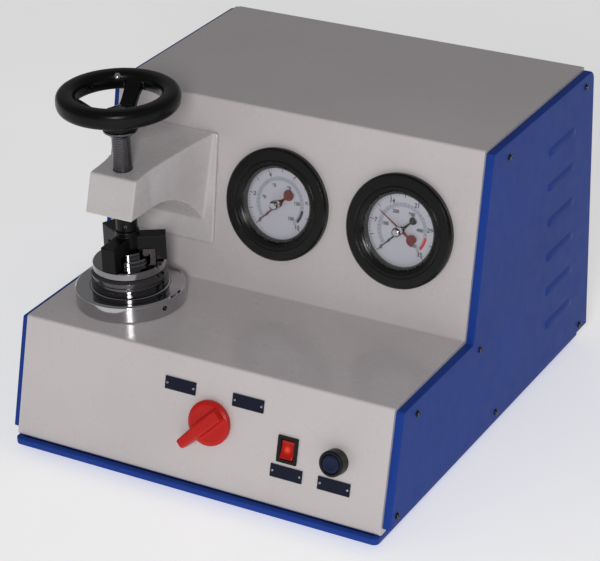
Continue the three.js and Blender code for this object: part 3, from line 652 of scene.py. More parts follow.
def side_screw_places(x, hand):
    """Where the seven screws of a side cover stand, head outward."""
    low, high = box_of("right_side_cover")
    front, deck_front, deck_back, top_front = inset_line(4, low.z)[:4]
    edge = 12
    points = [
        (front[0] + 1.4 * edge, low.z + edge * 0.8),
        (deck_front[0] + 2.6 * edge, deck_front[1] - 1.4 * edge),
        (deck_back[0] + 1.4 * edge, deck_back[1] - 1.2 * edge),
        (top_front[0] + 3.4 * edge, top_front[1] - 1.6 * edge),
        (high.y - 2 * edge, top_front[1] - 1.2 * edge),
        (high.y - 2 * edge, low.z + edge * 0.8),
        ((front[0] + high.y) / 2, low.z + edge * 0.8),
    ]
    face = turn_by(90 * hand, "Y")
    return [at(x, y, z) @ face for y, z in points]


def louvre_shape(grow, length):
    """One pressed louvre, drawn with local X along the slot, Y up and Z out of the plate, open below.

    A grown one is the hollow under the hood: thinner by grow and deep enough to go through the plate.
    """
    rise, proud = 11.0, 2.2
    root = -2.6 if grow else -0.8
    top = rise / 2 - grow / 2
    bottom = -rise / 2 - grow / 2
    steps = 14
    rings = []
    for k in range(steps + 1):
        u = -1 + 2 * k / steps
        swell = (1 - abs(u) ** 6) ** 0.5
        height = max(0.05, (proud - grow) * swell)
        slope = [(bottom + (top - bottom) * v, height * (1 - v ** 2.2)) for v in (j / 6 for j in range(1, 7))]
        profile = [(bottom, root), (bottom, height), *slope, (top, root)]
        rings.append([(u * length / 2, y, z) for y, z in profile])
    return loft("louvre", rings)


def make_side_cover(side, hand):
    """One flanged side cover, drawn for the right side and mirrored where hand is -1."""
    node = side + "_side_cover"
    low, high = box_of("right_side_cover")
    inner_x = WRAP_HIGH.x + GAP
    wall, depth, bend = 1.6, 9.0, 2.0
    outer_x = inner_x + depth
    line = inset_line(4, low.z)
    back = rounded([line[3], (high.y, line[3][1]), (high.y, low.z)], 12, 8, loop=False)
    rim = rounded(line[:4], BEND, 6, loop=False)[:-1] + back
    arc = [(bend * (1 - math.cos(t)), outer_x - bend * (1 - math.sin(t))) for t in quarter(4)]
    levels = [(wall, outer_x - wall), (wall, inner_x), (0, inner_x), *arc]
    cover = moved(layered("cover", rim[::-1], levels), ALONG_X)
    hoods = []
    slots = []
    count, front_y, length, first_z, pitch = 6, 144.4, 76.0, 82.0, 45.0
    for i in range(count):
        place = at(outer_x, front_y + length / 2, first_z + i * pitch) @ ALONG_X
        hoods.append(moved(louvre_shape(0.0, length), place))
        slots.append(moved(louvre_shape(1.2, length - 4), place))
    cover = cut(joined(cover, *hoods), *slots)
    if hand < 0:
        moved(cover, Matrix.Scale(-1, 4, (1, 0, 0)))
    piece(cover, node + "_skin", "housing", "blue_enamel", node)
    washer_profile = rounded([(1.5, 0), (4.2, 0), (4.2, 0.7), (1.5, 0.7)], 0.25, 3)
    places = side_screw_places(hand * outer_x, hand)
    for i, place in enumerate(places):
        washer = moved(lathe("washer", washer_profile, SMALL_ROUND), place)
        piece(washer, f"{side}_cover_washer_{i + 1}", "housing", "black_metal")
    heads = [place @ at(0, 0, 0.7) for place in places]
    put_screws(side + "_cover_screw", "housing", heads, 2.8, 2.2, slot="dark_chrome")


def make_tray():
    """Open tray with a rounded foot and a rim rolled inward."""
    low, high = TRAY_LOW.z, TRAY_HIGH.z
    roll, wall = 1.2, 6.9
    outline = rectangle(TRAY_HIGH.x - TRAY_LOW.x, TRAY_HIGH.y - TRAY_LOW.y, 7, 10)
    rim = [(roll * (1 - math.cos(t)), high - roll * (1 - math.sin(t))) for t in quarter(4)]
    inside = [(wall - 0.3, high), (wall, high - 0.3), (wall, low + 2)]
    tray = layered("tray", outline, [(1.5, low), (0.5, low + 0.5), (0, low + 1.5), *rim, *inside])
    shifted(tray, 0, (TRAY_LOW.y + TRAY_HIGH.y) / 2, 0)
    piece(tray, "base_tray_skin", "housing", "blue_enamel", "base_tray")


def make_feet():
    for row in ("front", "rear"):
        for side in ("left", "right"):
            node = f"foot_{row}_{side}"
            low, high = box_of(node)
            radius, top = (high.x - low.x) / 2, high.z
            sole = [(0, 1.2), (5, 1.2), (5, 0), (radius - 2, 0), (radius, 2.4)]
            profile = [*sole, (radius - 1, top), (0, top)]
            foot = lathe("foot", rounded(profile, 0.8, 4, loop=False), 64)
            shifted(foot, (low.x + high.x) / 2, (low.y + high.y) / 2, 0)
            piece(foot, node + "_rubber", "housing", "rubber_feet", node)


def make_rear_panel():
    """Rear panel, drawn with local X to the left as seen from the front, Y up and Z backward."""
    low, high = box_of("rear_panel")
    backward = Matrix(((-1, 0, 0, 0), (0, 0, 1, high.y), (0, 1, 0, 0), (0, 0, 0, 1)))
    width = high.x - low.x
    outline = [(width / 2, low.z), (width / 2, high.z), (-width / 2, high.z), (-width / 2, low.z)]
    plate = prism("plate", rounded(outline, 2, 4), low.y - high.y, 0)
    inlet_low, inlet_high = box_of("mains_inlet")
    inlet_x, inlet_z = -(inlet_low.x + inlet_high.x) / 2, (inlet_low.z + inlet_high.z) / 2
    holes = [shifted(prism("hole", rectangle(48, 28), -5, 5), inlet_x, inlet_z)]
    vent_count, vent_x, vent_z, vent_pitch = 7, 100.0, 252.0, 12.0
    for i in range(vent_count):
        slot_hole = prism("hole", rectangle(100, 4, 1.9, 6), -5, 5)
        holes.append(shifted(slot_hole, vent_x, vent_z + i * vent_pitch))
    plate = edged(cut(plate, *holes), 0.3)
    piece(moved(plate, backward), "rear_panel_skin", "housing", "white_enamel", "rear_panel")
    inset = 7.5
    columns = (-width / 2 + inset, 0, width / 2 - inset)
    rows = (low.z + inset, (low.z + high.z) / 2, high.z - inset)
    places = [backward @ at(x, z, 0) for x in columns for z in rows if x or z != rows[1]]
    put_screws("rear_screw", "housing", places, 3.0, 2.0)
    make_mains_inlet(backward @ at(inlet_x, inlet_z, 0))


def make_mains_inlet(place):
    """Socket with three blades and a fuse drawer, in a flanged body held by two screws."""
    drawer_x, face_z = 18.5, 2.6
    inlet = joined(
        prism("body", rectangle(46.8, 26.8, 1), -24, 0.6),
        prism("face", rectangle(64, 34, 4, 6), 0.1, face_z, 0.6))
    mouth = rounded([(-12, -8), (12, -8), (12, 3), (7, 8), (-7, 8), (-12, 3)], 1.2, 3)
    drawer = shifted(prism("drawer", rectangle(9, 16), 1.6, 5), drawer_x)
    inlet = cut(inlet, prism("mouth", mouth, -12, 5), drawer)
    piece(moved(inlet, place), "mains_inlet_body", "housing", "black_plastic", "mains_inlet")
    for i, (x, y) in enumerate([(-7, -2), (7, -2), (0, 2.6)]):
        blade = shifted(prism("blade", rectangle(2, 4, 0.6, 3), -11.9, -1, 0.4), x, y)
        piece(moved(blade, place), f"mains_blade_{i + 1}", "housing", "brass")
    fuse = shifted(prism("fuse", rectangle(8.4, 15.4, 0.8), 1.65, 2.9, 0.3), drawer_x)
    piece(moved(fuse, place), "fuse_drawer", "housing", "black_plastic")
    ears = [place @ at(x, 0, face_z) for x in (-27.5, 27.5)]
    put_screws("inlet_screw", "housing", ears, 2.4, 1.4)


# ---- press frame and clamp
def make_press_frame():
    """Cast arm over the deck, on a pad on the gauge panel, and the column that holds it inside the casing."""
    low, high = box_of("press_frame")
    foot_half = 60
    shift_y = high.y - foot_half
    under_z, throat_radius, throat_y, throat_start = 274.5, 87.0, -122.5, 0.3
    throat_z = under_z - throat_radius
    turns = [throat_start + (math.pi / 2 - throat_start) * k / 24 for k in range(25)]
    throat = [(throat_y + throat_radius * math.cos(t), throat_z + throat_radius * math.sin(t)) for t in turns]
    nose = [(-150, under_z), (-172, under_z), (-157.5, 319.0), (-140, 320.2)]
    root = [(-18.2, 328.3), (10, 328.3), (10, throat[0][1])]
    arm = moved(prism("arm", nose + root + throat, -60, 60), ALONG_X)
    half = [(31, -180), (31, -130), (35.5, -96), (41, -65), (47, -35), (54, -10), (60, 12)]
    plan = half + [(-x, y) for x, y in reversed(half)]
    arm = shifted(common(arm, prism("plan", plan, 150, 340)), CLAMP.x, shift_y)
    arm = common(arm, moved(prism("front", rectangle(300, 400), GAP, 220), AT_NECK))
    pad_outline = [(61, -64.3), (56, 67.7), (-56, 67.7), (-61, -64.3)]
    pad = moved(prism("pad", rounded(pad_outline, 3, 4), GAP, 4.3), AT_NECK)
    arm = softened(joined(arm, pad), 1.2, 9)
    shoulder_z, top_z = 313, 340
    bore = [(0, 200), (13.2, 200), (13.2, shoulder_z), (11.5, shoulder_z), (11.5, top_z), (0, top_z)]
    arm = cut(arm, moved(lathe("bore", bore, 64), AT_CLAMP))
    piece(arm, "press_arm", "housing", "white_casting", "press_frame", sharp=50)
    half_width = 49.5
    column = joined(
        shifted(block("column", -half_width, half_width, -12, 40, low.z, 335), CLAMP.x, shift_y),
        shifted(block("jaw", -half_width, half_width, -195, 0, 112, 153.1), CLAMP.x, shift_y),
        shifted(block("foot", -foot_half, foot_half, -30, foot_half, low.z, 22), CLAMP.x, shift_y))
    column = common(column, moved(prism("inside", rectangle(400, 700), -300, -4), AT_NECK))
    column = edged(cut(column, moved(cylinder("bore", CHAMBER_HOLE, 90, 160), AT_CLAMP)), 1.5)
    piece(column, "press_column", "housing", "white_casting")


def make_flange():
    """Ring on the deck round the specimen clamp, with a groove on top and a grub screw at the side."""
    low, high = FLANGE_LOW.z, FLANGE_HIGH.z
    radius, bore, groove = (FLANGE_HIGH.x - FLANGE_LOW.x) / 2, 30.4, high - 0.6
    profile = [
        (bore, low), (radius - 0.8, low), (radius, low + 0.8), (radius, high - 2), (radius - 2, high),
        (47.2, high), (46.6, groove), (45.6, groove), (45.0, high), (bore, high),
    ]
    flange = lathe("flange", rounded(profile, 1.2, 4), 144)
    sideways = turn_by(-20, "Z") @ turn_by(90, "Y")
    hole = moved(cylinder("hole", 3.2, radius - 7, radius + 5, SMALL_ROUND), sideways)
    height = (low + high) / 2
    flange = cut(flange, shifted(hole, 0, 0, height))
    piece(moved(flange, AT_CLAMP), "clamp_flange_ring", "housing", "bright_chrome", "clamp_flange")
    screw = cut(cylinder("socket", 3, 0, 4, SMALL_ROUND), cylinder("hex", 1.6, 2, 6, 6))
    shifted(moved(shifted(screw, 0, 0, radius - 6.9), sideways), 0, 0, height)
    piece(moved(screw, AT_CLAMP), "flange_grub_screw", "housing", "black_metal")


def make_clamp_rings():
    low, high = box_of("lower_clamp_ring")
    radius = (high.x - low.x) / 2
    profile = [(RING_BORE, low.z), (radius - 0.4, low.z), (radius, low.z + 0.4)]
    for groove in (low.z + 5.8, low.z + 12.8):
        profile += [(radius, groove - 0.9), (radius - 1.0, groove - 0.5),
                    (radius - 1.0, groove + 0.5), (radius, groove + 0.9)]
    profile += [(radius, high.z - 3), (radius - 3, high.z), (RING_BORE + 1, high.z), (RING_BORE, high.z - 1)]
    ring = lathe("ring", rounded(profile, 0.3, 2), 144)
    piece(moved(ring, AT_CLAMP), "lower_ring", "housing", "dark_chrome", "lower_clamp_ring")

    low, high = box_of("upper_clamp_ring")
    radius, top, neck, collar = (high.x - low.x) / 2, high.z, 25, 17.2
    profile = [
        (RING_BORE, low.z + 0.8), (RING_BORE + 0.8, low.z), (radius - 0.8, low.z), (radius, low.z + 0.8),
        (radius, top - 13.2), (radius - 1.2, top - 12), (neck + 0.6, top - 12), (neck, top - 11.4),
        (neck, top - 7), (neck - 1, top - 6), (collar, top - 6), (collar, top - 0.5), (collar - 0.5, top),
        (RING_BORE, top),
    ]
    ring = moved(lathe("ring", rounded(profile, 0.5, 3), 144), AT_CLAMP)
    # The upper ring is drawn in shaded_chrome, a darker copy of its bright_chrome, as painted shade under the
    # pressure foot.
    piece(ring, "upper_ring", "clamp", "bright_chrome", "upper_clamp_ring", look="shaded_chrome")


def make_diaphragm():
    """Rubber disc with a flat rim, a slope that eases in and out, and a domed crown."""
    low, high = box_of("diaphragm")
    edge, rim_radius, crown_radius = low.z + 2, 29, 14
    profile = [(0, low.z), (rim_radius, low.z), (rim_radius, edge)]
    for k in range(1, 11):
        rise = (high.z - edge) * 0.5 * (1 - math.cos(math.pi * k / 10)) * 0.5
        profile.append((rim_radius - (rim_radius - crown_radius) * (k / 10), edge + rise))
    profile += dome(crown_radius, profile[-1][1], high.z)
    rubber = moved(lathe("dome", profile, 64), AT_CLAMP)
    piece(rubber, "diaphragm_rubber", "housing", "rubber_diaphragm", "diaphragm")


def make_pressure_foot():
    """Three-legged foot that pushes the upper ring down."""
    low, high = box_of("tripod")
    arm_z, bulge_z, leg_top = 222.0, 222.5, 238.5
    reach, foot, width, first_turn, hub_radius = 44.0, 13.0, 18.0, -88.0, 14.0
    hub = lathe("hub", [(0, bulge_z), (hub_radius - 2, bulge_z), (hub_radius, bulge_z + 2),
                        (hub_radius, high.z - 1), (hub_radius - 1, high.z), (0, high.z)], 64)
    limbs = []
    for i in range(3):
        turn = first_turn + 120 * i
        for inner, bottom in ((0, arm_z), (reach - foot, low.z)):
            limb = block("limb", inner, reach, -width / 2, width / 2, bottom, leg_top)
            limbs.append(turned_about_z(limb, turn))
    tripod = softened(joined(hub, *limbs), 0.75, 4)
    tripod = cut(tripod, cylinder("bore", 8.3, 229.5, 260, 48))
    piece(moved(tripod, AT_CLAMP), "pressure_foot", "clamp", "black_metal", "tripod", sharp=50)


def make_sleeve():
    """Sleeve that joins the foot to the turning spindle, with two screws in its side."""
    low, high = box_of("swivel_sleeve")
    profile = rounded([(8.3, low.z), (12.5, low.z), (12.5, high.z), (8.3, high.z)], 0.8, 3)
    piece(moved(lathe("sleeve", profile, 64), AT_CLAMP), "sleeve", "clamp", "black_metal", "swivel_sleeve")
    sideways = turn_by(-62, "Z") @ turn_by(90, "Y")
    for i, height in enumerate((low.z + 7, low.z + 18)):
        head = rounded([(0, 0), (2.0, 0), (2.0, 1.0), (0, 1.0)], 0.4, 3, loop=False)
        screw = cut(lathe("screw", head, 32), cylinder("hex", 1.2, 0.4, 3, 6))
        place = AT_CLAMP @ at(0, 0, height) @ sideways @ at(0, 0, 11.75)
        piece(moved(screw, place), f"sleeve_screw_{i + 1}", "clamp", "dark_chrome")


def make_spindle():
    low, high = box_of("spindle")
    radius = (high.x - low.x) / 2
    sleeve_top = box_of("swivel_sleeve")[1].z + GAP
    pitch, depth, starts, sides, per_pitch = 2.0, 0.22, 2, 64, 8
    thread_low, thread_high = sleeve_top + 1.5, high.z - 20
    rows = int((thread_high - thread_low) / pitch * per_pitch)

    def ring(z, outer, threaded=False):
        points = []
        for k in range(sides):
            turn = 2 * math.pi * k / sides
            phase = (z / pitch - starts * k / sides) % 1.0
            flank = min(1.0, max(0.0, 2.6 * abs(phase - 0.5) - 0.25))
            r = outer - (depth * flank if threaded else 0.0)
            points.append((r * math.cos(turn), r * math.sin(turn), z))
        return points

    foot, end = 8, 0.8
    rings = [ring(low.z, foot - end), ring(low.z + end, foot), ring(sleeve_top, foot),
             ring(sleeve_top, radius - end), ring(sleeve_top + end, radius)]
    for k in range(rows + 1):
        rings.append(ring(thread_low + (thread_high - thread_low) * k / rows, radius, threaded=True))
    rings += [ring(thread_high + end, radius), ring(high.z - 1, radius), ring(high.z, radius - 1)]
    spindle = loft("spindle", rings)
    piece(moved(spindle, AT_CLAMP), "threaded_spindle", "handwheel", "dark_chrome", "spindle")

    low, high = box_of("spindle_collar")
    bore, top = radius + GAP, high.z
    profile = [
        (bore, low.z), (12.6, low.z), (13.6, low.z + 1), (14.4, low.z + 3), (16.4, low.z + 3.6),
        (19, top - 3.2), (20, top - 2.4), (20, top - 0.4), (19.6, top), (bore, top),
    ]
    collar = lathe("collar", rounded(profile, 0.5, 3), 80)
    piece(moved(collar, AT_CLAMP), "thrust_collar", "handwheel", "dark_chrome", "spindle_collar")


def make_cap_nut():
    low, high = box_of("handwheel_cap_nut")
    foot = low.z
    flange = [(0, foot), (12.2, foot), (13, foot + 0.8), (13, foot + 1.8), (10.4, foot + 2.4)]
    nut = lathe("cap", [*flange, (10, foot + 2.6), *dome(10, foot + 2.6, high.z)], 64)
    piece(moved(nut, AT_CLAMP), "wheel_cap_nut", "handwheel", "dark_chrome", "handwheel_cap_nut")


def superellipse(width, height, power, count):
    """Outline of a soft-cornered section, centred on the origin."""
    points = []
    for k in range(count):
        turn = 2 * math.pi * k / count
        c, s = math.cos(turn), math.sin(turn)
        across = math.copysign(abs(c) ** (2 / power), c)
        upward = math.copysign(abs(s) ** (2 / power), s)
        points.append((width / 2 * across, height / 2 * upward))
    return points


def spoke_shape(reach, low_z, high_z):
    """One spoke that climbs from the hub to the rim along +X and is waisted halfway."""
    thick = 6.4
    rings = []
    for k in range(13):
        v = k / 12
        r = 2 + (reach - 2) * v
        climb = 0.5 - 0.5 * math.cos(math.pi * min(1.0, max(0.0, (r - 12) / (reach - 16))))
        mid_z = low_z + (high_z - low_z) * climb
        w = 9.5 + 4.5 * abs(2 * v - 1) ** 2.4
        section = rounded([(w, -thick), (w, thick), (-w, thick), (-w, -thick)], 3.5, 4)
        rings.append([(r, y, mid_z + z) for y, z in section])
    return loft("spoke", rings)


def make_handwheel():
    low, high = box_of("handwheel")
    outer, section, height = (high.y - low.y) / 2, 22.0, 22.5
    rim_z = high.z - height / 2
    centre = outer - section / 2
    rim = [(centre + x, rim_z + z) for x, z in superellipse(section, height, 2.7, 40)]
    wheel = lathe("rim", rim, 180)
    foot, step, top = low.z, low.z + 9, 390.5
    hub = lathe("hub", [(0, foot), (20, foot), (20, step), (18, step + 2), (18, top), (0, top)], 80)
    spokes = [turned_about_z(spoke_shape(centre, 382, rim_z - 1), 101 + 120 * i) for i in range(3)]
    wheel = softened(joined(wheel, hub, *spokes), 1.1, 6)
    wheel = cut(wheel, cylinder("bore", 11.3, 360, 400, 64))
    wheel = moved(wheel, AT_CLAMP)
    piece(wheel, "handwheel_casting", "handwheel", "black_handwheel", "handwheel", sharp=60)


def make_rim_plug():
    """Blanking plug on the rim, leaning toward the axis."""
    low, high = box_of("handwheel_plug")
    middle = (low + high) / 2
    rise, radius, skirt = 2.2, 3.7, 0.5
    inward = Vector((CLAMP.x - middle.x, CLAMP.y - middle.y, 0)).normalized()
    lean = Vector((inward.x, inward.y, math.tan(math.radians(34.5)))).normalized()
    profile = [(0, 0), (radius, 0), (radius, skirt), *dome(radius, skirt, rise)]
    stand = Matrix.Translation(middle - lean * rise / 2) @ lean.to_track_quat("Z", "Y").to_matrix().to_4x4()
    plug = moved(lathe("plug", profile, 48), stand)
    piece(plug, "rim_plug", "handwheel", "bright_chrome", "handwheel_plug")


# ---- gauges
GAUGE_MOUTH = 45.0              # radius of the bezel's opening
DIAL_Z = -4.18                  # printed face of a dial, below the panel's surface
SCALE_START = 225.0             # first mark of a scale, anticlockwise from local X
SCALE_SWEEP = 270.0


def sector(name, inner, outer, start, end, low, high, steps):
    """Part of a flat ring between two angles in degrees, counted anticlockwise from local X."""
    angles = [math.radians(start + (end - start) * k / steps) for k in range(steps + 1)]
    outline = [(outer * math.cos(a), outer * math.sin(a)) for a in angles]
    outline += [(inner * math.cos(a), inner * math.sin(a)) for a in reversed(angles)]
    return prism(name, outline, low, high)


def numeral(text, size, angle, radius, height):
    """Upright number centred at a polar place on the dial, as a mesh."""
    curve = bpy.data.curves.new("numeral", "FONT")
    curve.body = text
    curve.size = size
    curve.align_x = "CENTER"
    curve.align_y = "CENTER"
    curve.extrude = 0.03
    curve.offset = 0.2
    source = linked("numeral", curve)
    mesh = evaluated_mesh(source)
    bpy.data.objects.remove(source)
    turn = math.radians(angle)
    return shifted(linked("numeral", mesh), radius * math.cos(turn), radius * math.sin(turn), height)


def needle_outline(length, width, lobe_at, lobe_radius):
    """Slim blade from a boss, with a heart-shaped counterweight behind it."""
    half = width / 2
    outline = [(length, 0.3), (length * 0.4, half * 0.8), (5.2, half), (3.4, 1.9), (0, 3.9), (-3.6, 1.7)]
    steps = 16
    for k in range(1, steps + 1):
        turn = math.pi * k / steps
        notch = 0.3 * lobe_radius * max(0.0, -math.cos(turn)) ** 6
        x = -lobe_at + lobe_radius * math.cos(turn) + notch
        outline.append((x, max(0.02, lobe_radius * math.sin(turn))))
    return outline + [(x, -y) for x, y in reversed(outline)]


def scale_marks(divisions, radius, long_size, short_size):
    """Ticks inward from a radius, every fifth one long, and the arc they hang from.

    A size is (length, width).
    """
    print_z = DIAL_Z + 0.06
    marks = []
    for k in range(divisions + 1):
        length, width = short_size if k % 5 else long_size
        tick = shifted(prism("tick", rectangle(length, width), DIAL_Z, print_z), radius - length / 2)
        marks.append(turned_about_z(tick, SCALE_START - SCALE_SWEEP * k / divisions))
    arc = sector("arc", radius, radius + 0.3, SCALE_START - SCALE_SWEEP, SCALE_START, DIAL_Z, print_z, 90)
    return marks, arc


def make_dial(side, outer_step, inner_step, zone_look):
    """White plate with an outer and an inner scale, each numbered from 0 in five steps, a band and a zone."""
    place = GAUGES[side]
    dial = lathe("dial", rounded([(2.4, -5.5), (45.5, -5.5), (45.5, -4.2), (2.4, -4.2)], 0.2, 2), 96)
    piece(moved(dial, place), side + "_dial_plate", "housing", "dial_white", side + "_gauge_dial")
    outer_ticks, outer_arc = scale_marks(50, 41.2, (4.4, 0.95), (2.4, 0.4))
    inner_ticks, inner_arc = scale_marks(30, 30.6, (3.2, 0.45), (1.8, 0.45))
    marks = [*outer_ticks, *inner_ticks, inner_arc, outer_arc]
    for step, size, radius in ((outer_step, 7.0, 34.4), (inner_step, 5.6, 22.0)):
        for k in range(6):
            angle = SCALE_START - SCALE_SWEEP * k / 5
            marks.append(numeral(str(step * k), size, angle, radius, DIAL_Z + 0.035))
    prints = [
        ("marks", merged("marks", marks), "dial_print"),
        ("band", sector("band", 26.4, 29.8, SCALE_START - SCALE_SWEEP, SCALE_START,
                        DIAL_Z - 0.02, DIAL_Z + 0.02, 90), "dial_band"),
        ("zone", sector("zone", 28.4, 31.6, -36, -7, DIAL_Z, DIAL_Z + 0.1, 16), zone_look),
    ]
    for word, shape, look in prints:
        piece(moved(shape, place), f"{side}_dial_{word}", "housing", "dial_white", look=look)


def make_bezel(side):
    """Black flange ring with two grooves and a stepped mouth."""
    radius, mouth, ledge, proud, barrel = 66.0, GAUGE_MOUTH, 42.0, 9.0, 45.8
    shallow, deep = proud - 0.7, proud - 1.1
    profile = [
        (ledge, 2.7), (ledge, -3), (barrel, -3), (barrel, GAP), (radius, GAP), (radius, proud - 2.4),
        (radius - 2.4, proud), (mouth + 9.0, proud), (mouth + 8.4, shallow), (mouth + 6.6, shallow),
        (mouth + 6.0, proud), (mouth + 4.2, proud), (mouth + 3.6, deep), (mouth + 2.2, deep),
        (mouth + 1.4, proud - 1.9), (mouth, proud - 2.6), (mouth, 2.7),
    ]
    bezel = moved(lathe("bezel", rounded(profile, 0.7, 3), 160), GAUGES[side])
    piece(bezel, side + "_gauge_ring", "housing", "gauge_black", side + "_gauge_bezel")


def make_window(side):
    """Glass disc, hidden from shadow and diffuse rays so that the dial is lit once, as through real glass."""
    edge = GAUGE_MOUTH - GAP
    glass = lathe("glass", rounded([(2, 3), (edge, 3), (edge, 5), (2, 5)], 0.3, 2), 96)
    moved(glass, GAUGES[side])
    window = piece(glass, side + "_window", "housing", "gauge_glass", side + "_gauge_glass")
    window.visible_shadow = False
    window.visible_diffuse = False


def make_hands(side, pointer_rest, max_rest):
    """Pointer on its arbor, and the maximum hand above it with its reset knob in front of the glass."""
    place = GAUGES[side]
    blade = prism("blade", needle_outline(36, 2.6, 18.5, 4.6), -2.7, -2.3)
    arbor = [(0, -8), (2, -8), (2, -2.3), (4, -2.3), (4, -1.8), (3.6, -1.5), (0, -1.5)]
    pointer = merged("pointer", [blade, lathe("arbor", arbor, SMALL_ROUND)])
    turned_about_z(pointer, pointer_rest)
    piece(moved(pointer, place), side + "_needle", side + "_pointer", "needle_black", side + "_pointer")
    body = side + "_max_hand"
    blade = prism("blade", needle_outline(34, 2.0, 17, 6.6), -0.9, -0.5)
    boss = lathe("boss", [(0, -0.9), (3.4, -0.9), (3.4, -0.2), (3, 0.2), (0, 0.2)], SMALL_ROUND)
    drag = turned_about_z(merged("drag", [blade, boss]), max_rest)
    piece(moved(drag, place), side + "_drag_hand", body, "needle_red", body)
    stem = [(0, 0.6), (1.5, 0.6), (1.5, 5.4), (5.0, 5.4)]
    head = [(5.5, 5.9), (5.5, 12.6), (4.6, 14.4), (3.2, 15), (0, 15)]
    knob = lathe("knob", rounded(stem + head, 0.5, 3, loop=False), 48)
    count = 18
    flutes = [
        turned_about_z(shifted(cylinder("flute", 0.5, 7, 12, 8), 5.65), 360 * k / count)
        for k in range(count)
    ]
    knob = moved(cut(knob, *flutes), place)
    piece(knob, side + "_knob", body, "bright_chrome", side + "_reset_knob")


def make_gauge(side, outer_step, inner_step, zone_look, max_rest):
    make_bezel(side)
    make_dial(side, outer_step, inner_step, zone_look)
    make_window(side)
    make_hands(side, SCALE_START, max_rest)


# ---- controls
def make_selector():
    """Disc with a raised handle that points down and to the left at rest."""
    radius, thick, grip, reach, back = 26.0, 8.0, 16.0, 44.0, -22
    disc = [(0, GAP), (radius, GAP), (radius, thick - 1.5), (radius - 4, thick), (0, thick)]
    plate = lathe("plate", rounded(disc, 1.2, 4, loop=False), 120)
    bar = rounded([(8, -8.2), (reach, -6), (reach, 6), (8, 8.2), (back, 8.2), (back, -8.2)], 2.2, 4)
    wing = layered("wing", bar, [(0, 3), (0.2, grip - 5), (1.4, grip - 1.2), (2.6, grip)])
    knob = softened(joined(plate, wing), 0.7, 3)
    turned_about_z(knob, 225)
    knob = joined(knob, cylinder("stem", 4, -24, 5, SMALL_ROUND))
    piece(moved(knob, CONTROL_PANEL), "selector_handle", "selector", "red_plastic", "selector_knob", sharp=50)


def make_rocker():
    place = on_panel(CONTROL_PANEL, "rocker")
    flange = prism("flange", rectangle(25.5, 31, 1.5), GAP, 2.0, 0.5)
    body = prism("body", rectangle(21, 26, 1), -22, 1)
    well = prism("well", rectangle(16.4, 23.8, 0.6), -12, 5)
    bezel = cut(joined(flange, body), well)
    piece(moved(bezel, place), "rocker_surround", "housing", "black_plastic", "rocker_bezel")
    shares = [1 - 2 * k / 16 for k in range(17)]
    dip = [(10.4 * share, 1.9 - 1.5 * share + 0.9 * (share ** 2 - 1)) for share in shares]
    profile = rounded([(-9, -6), (9, -6), *dip], 0.5, 3)
    rocker = moved(prism("rocker", profile, -7.8, 7.8, 0.6), ALONG_X)
    piece(moved(rocker, place), "rocker_lens", "rocker", "lit_red", "rocker")


def make_button():
    place = on_panel(CONTROL_PANEL, "button_cap")
    bezel, proud, cap, stem = 14.7, 15.0, 10.5, 5.5
    mouth = cap + GAP
    profile = [
        (6, -12), (8.7, -12), (8.7, GAP), (bezel, GAP), (bezel, proud - 1.6), (bezel - 1.6, proud),
        (cap + 1.2, proud), (mouth, proud - 0.9), (mouth, 2), (6, 2),
    ]
    collar = lathe("collar", rounded(profile, 0.5, 3), 96)
    piece(moved(collar, place), "button_collar", "housing", "black_plastic", "button_bezel")
    profile = [
        (0, -11), (stem, -11), (stem, 8), (cap, 8), (cap, proud - 0.8), (cap - 1.3, proud + 0.4),
        (cap - 3, proud + 0.5), (4, proud + 0.1), (0, proud),
    ]
    knob = lathe("plunger", rounded(profile, 0.6, 3, loop=False), 80)
    piece(moved(knob, place), "button_plunger", "button", "navy_plastic", "button_cap")


def make_labels():
    face_z = GAP + 1
    for i in range(4):
        node = f"label_plate_{i + 1}"
        place = on_panel(CONTROL_PANEL, node)
        plate = prism("plate", rectangle(40, 15, 0.8, 4), GAP, face_z, 0.25)
        piece(moved(plate, place), node + "_face", "housing", "label_plate", node)
        ends = [place @ at(x, 0, face_z) for x in (-17, 17)]
        put_screws(node + "_screw", "housing", ends, 1.5, 0.7, recess="slot", turn_step=61.0)


# ---- what stays as CAD
KEPT = {
    "spindle_nut": "brass", "pressure_chamber": "machined_steel", "selector_switch": "black_plastic",
    "button_contact_block": "black_plastic", "drive_gear": "brass", "motor_pinion": "machined_steel",
    "gear_bracket": "aluminium", "gear_motor": "grey_iron", "pressure_cylinder": "machined_steel",
    "piston": "aluminium", "piston_screw": "machined_steel", "chamber_pipe": "copper_pipe",
    "left_gauge_pipe": "copper_pipe", "right_gauge_pipe": "copper_pipe", "power_supply": "aluminium",
    "left_gauge_case": "grey_iron", "right_gauge_case": "grey_iron",
}


def dress_cad_nodes():
    for node, slot in KEPT.items():
        shape = NODES[node]
        shape.data.materials.clear()
        shape.data.materials.append(MATERIALS[slot])


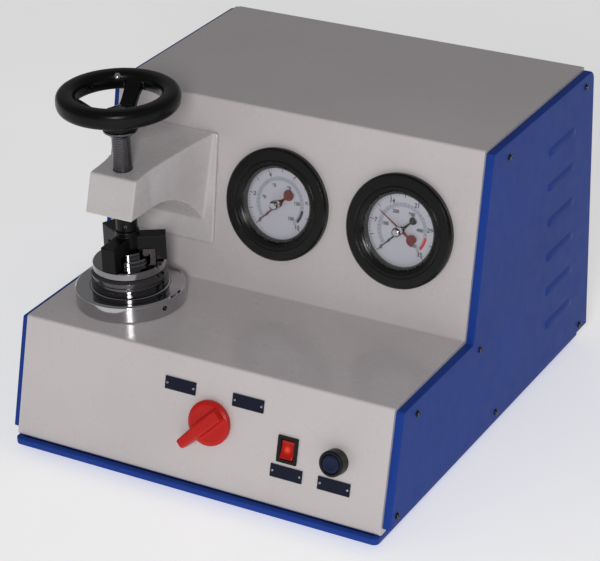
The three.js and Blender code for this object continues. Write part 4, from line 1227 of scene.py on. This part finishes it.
# ---- studio
def make_camera():
    """Camera from the front right and 27 degrees above, rolled by a degree and a half."""
    data = bpy.data.cameras.new("camera")
    data.lens = 142.2
    data.sensor_width = 36
    data.clip_start = 0.1
    data.clip_end = 60
    camera = linked("camera", data)
    right = (0.8702, 0.4919, -0.0264)
    up = (-0.2040, 0.4085, 0.8896)
    back = (0.4484, -0.7688, 0.4559)
    camera.matrix_world = at(1.2471, -2.1455, 1.4232) @ Matrix((right, up, back)).transposed().to_4x4()
    bpy.context.scene.camera = camera


def area_light(name, place, target, width, height, power):
    data = bpy.data.lights.new(name, "AREA")
    data.shape = "RECTANGLE"
    data.size = width
    data.size_y = height
    data.energy = power
    light = linked(name, data)
    direction = Vector(target) - Vector(place)
    light.rotation_mode = "QUATERNION"
    light.rotation_quaternion = direction.to_track_quat("-Z", "Y")
    light.location = place


def make_studio():
    half = 12.0
    corners = [(-half, -half, 0), (half, -half, 0), (half, half, 0), (-half, half, 0)]
    floor = mesh_object("floor", corners, [(0, 1, 2, 3)])
    look = Finish("floor")
    tone = look.mixed(look.spread(look.noise(3), 0.0, 1.0), srgb(240, 240, 240), srgb(246, 246, 246))
    look.put(look.shader.inputs["Base Color"], tone)
    look.put(look.shader.inputs["Roughness"], look.spread(look.noise(8), 0.55, 0.7))
    look.shader.inputs["Emission Color"].default_value = (1.0, 1.0, 1.0, 1.0)
    look.shader.inputs["Emission Strength"].default_value = 0.45
    floor.data.materials.append(look.material)
    world = bpy.data.worlds.new("studio")
    bpy.context.scene.world = world
    world.use_nodes = True
    sky = world.node_tree.nodes["Background"]
    sky.inputs["Color"].default_value = (0.98, 0.98, 1.0, 1.0)
    sky.inputs["Strength"].default_value = 0.22
    area_light("key", (1.08, -2.4, 1.42), (0.0, 0.0, 0.15), 0.4, 0.6, 28)
    bpy.context.scene.view_settings.view_transform = "Standard"


make_camera()
make_wrap_cover()
make_side_cover("left", -1)
make_side_cover("right", 1)
make_tray()
make_feet()
make_rear_panel()
make_press_frame()
make_flange()
make_clamp_rings()
make_diaphragm()
make_pressure_foot()
make_sleeve()
make_spindle()
make_cap_nut()
make_handwheel()
make_rim_plug()
make_gauge("left", 2, 30, "needle_black", 225)
make_gauge("right", 7, 100, "zone_red", 147)
make_selector()
make_rocker()
make_button()
make_labels()
dress_cad_nodes()
make_studio()
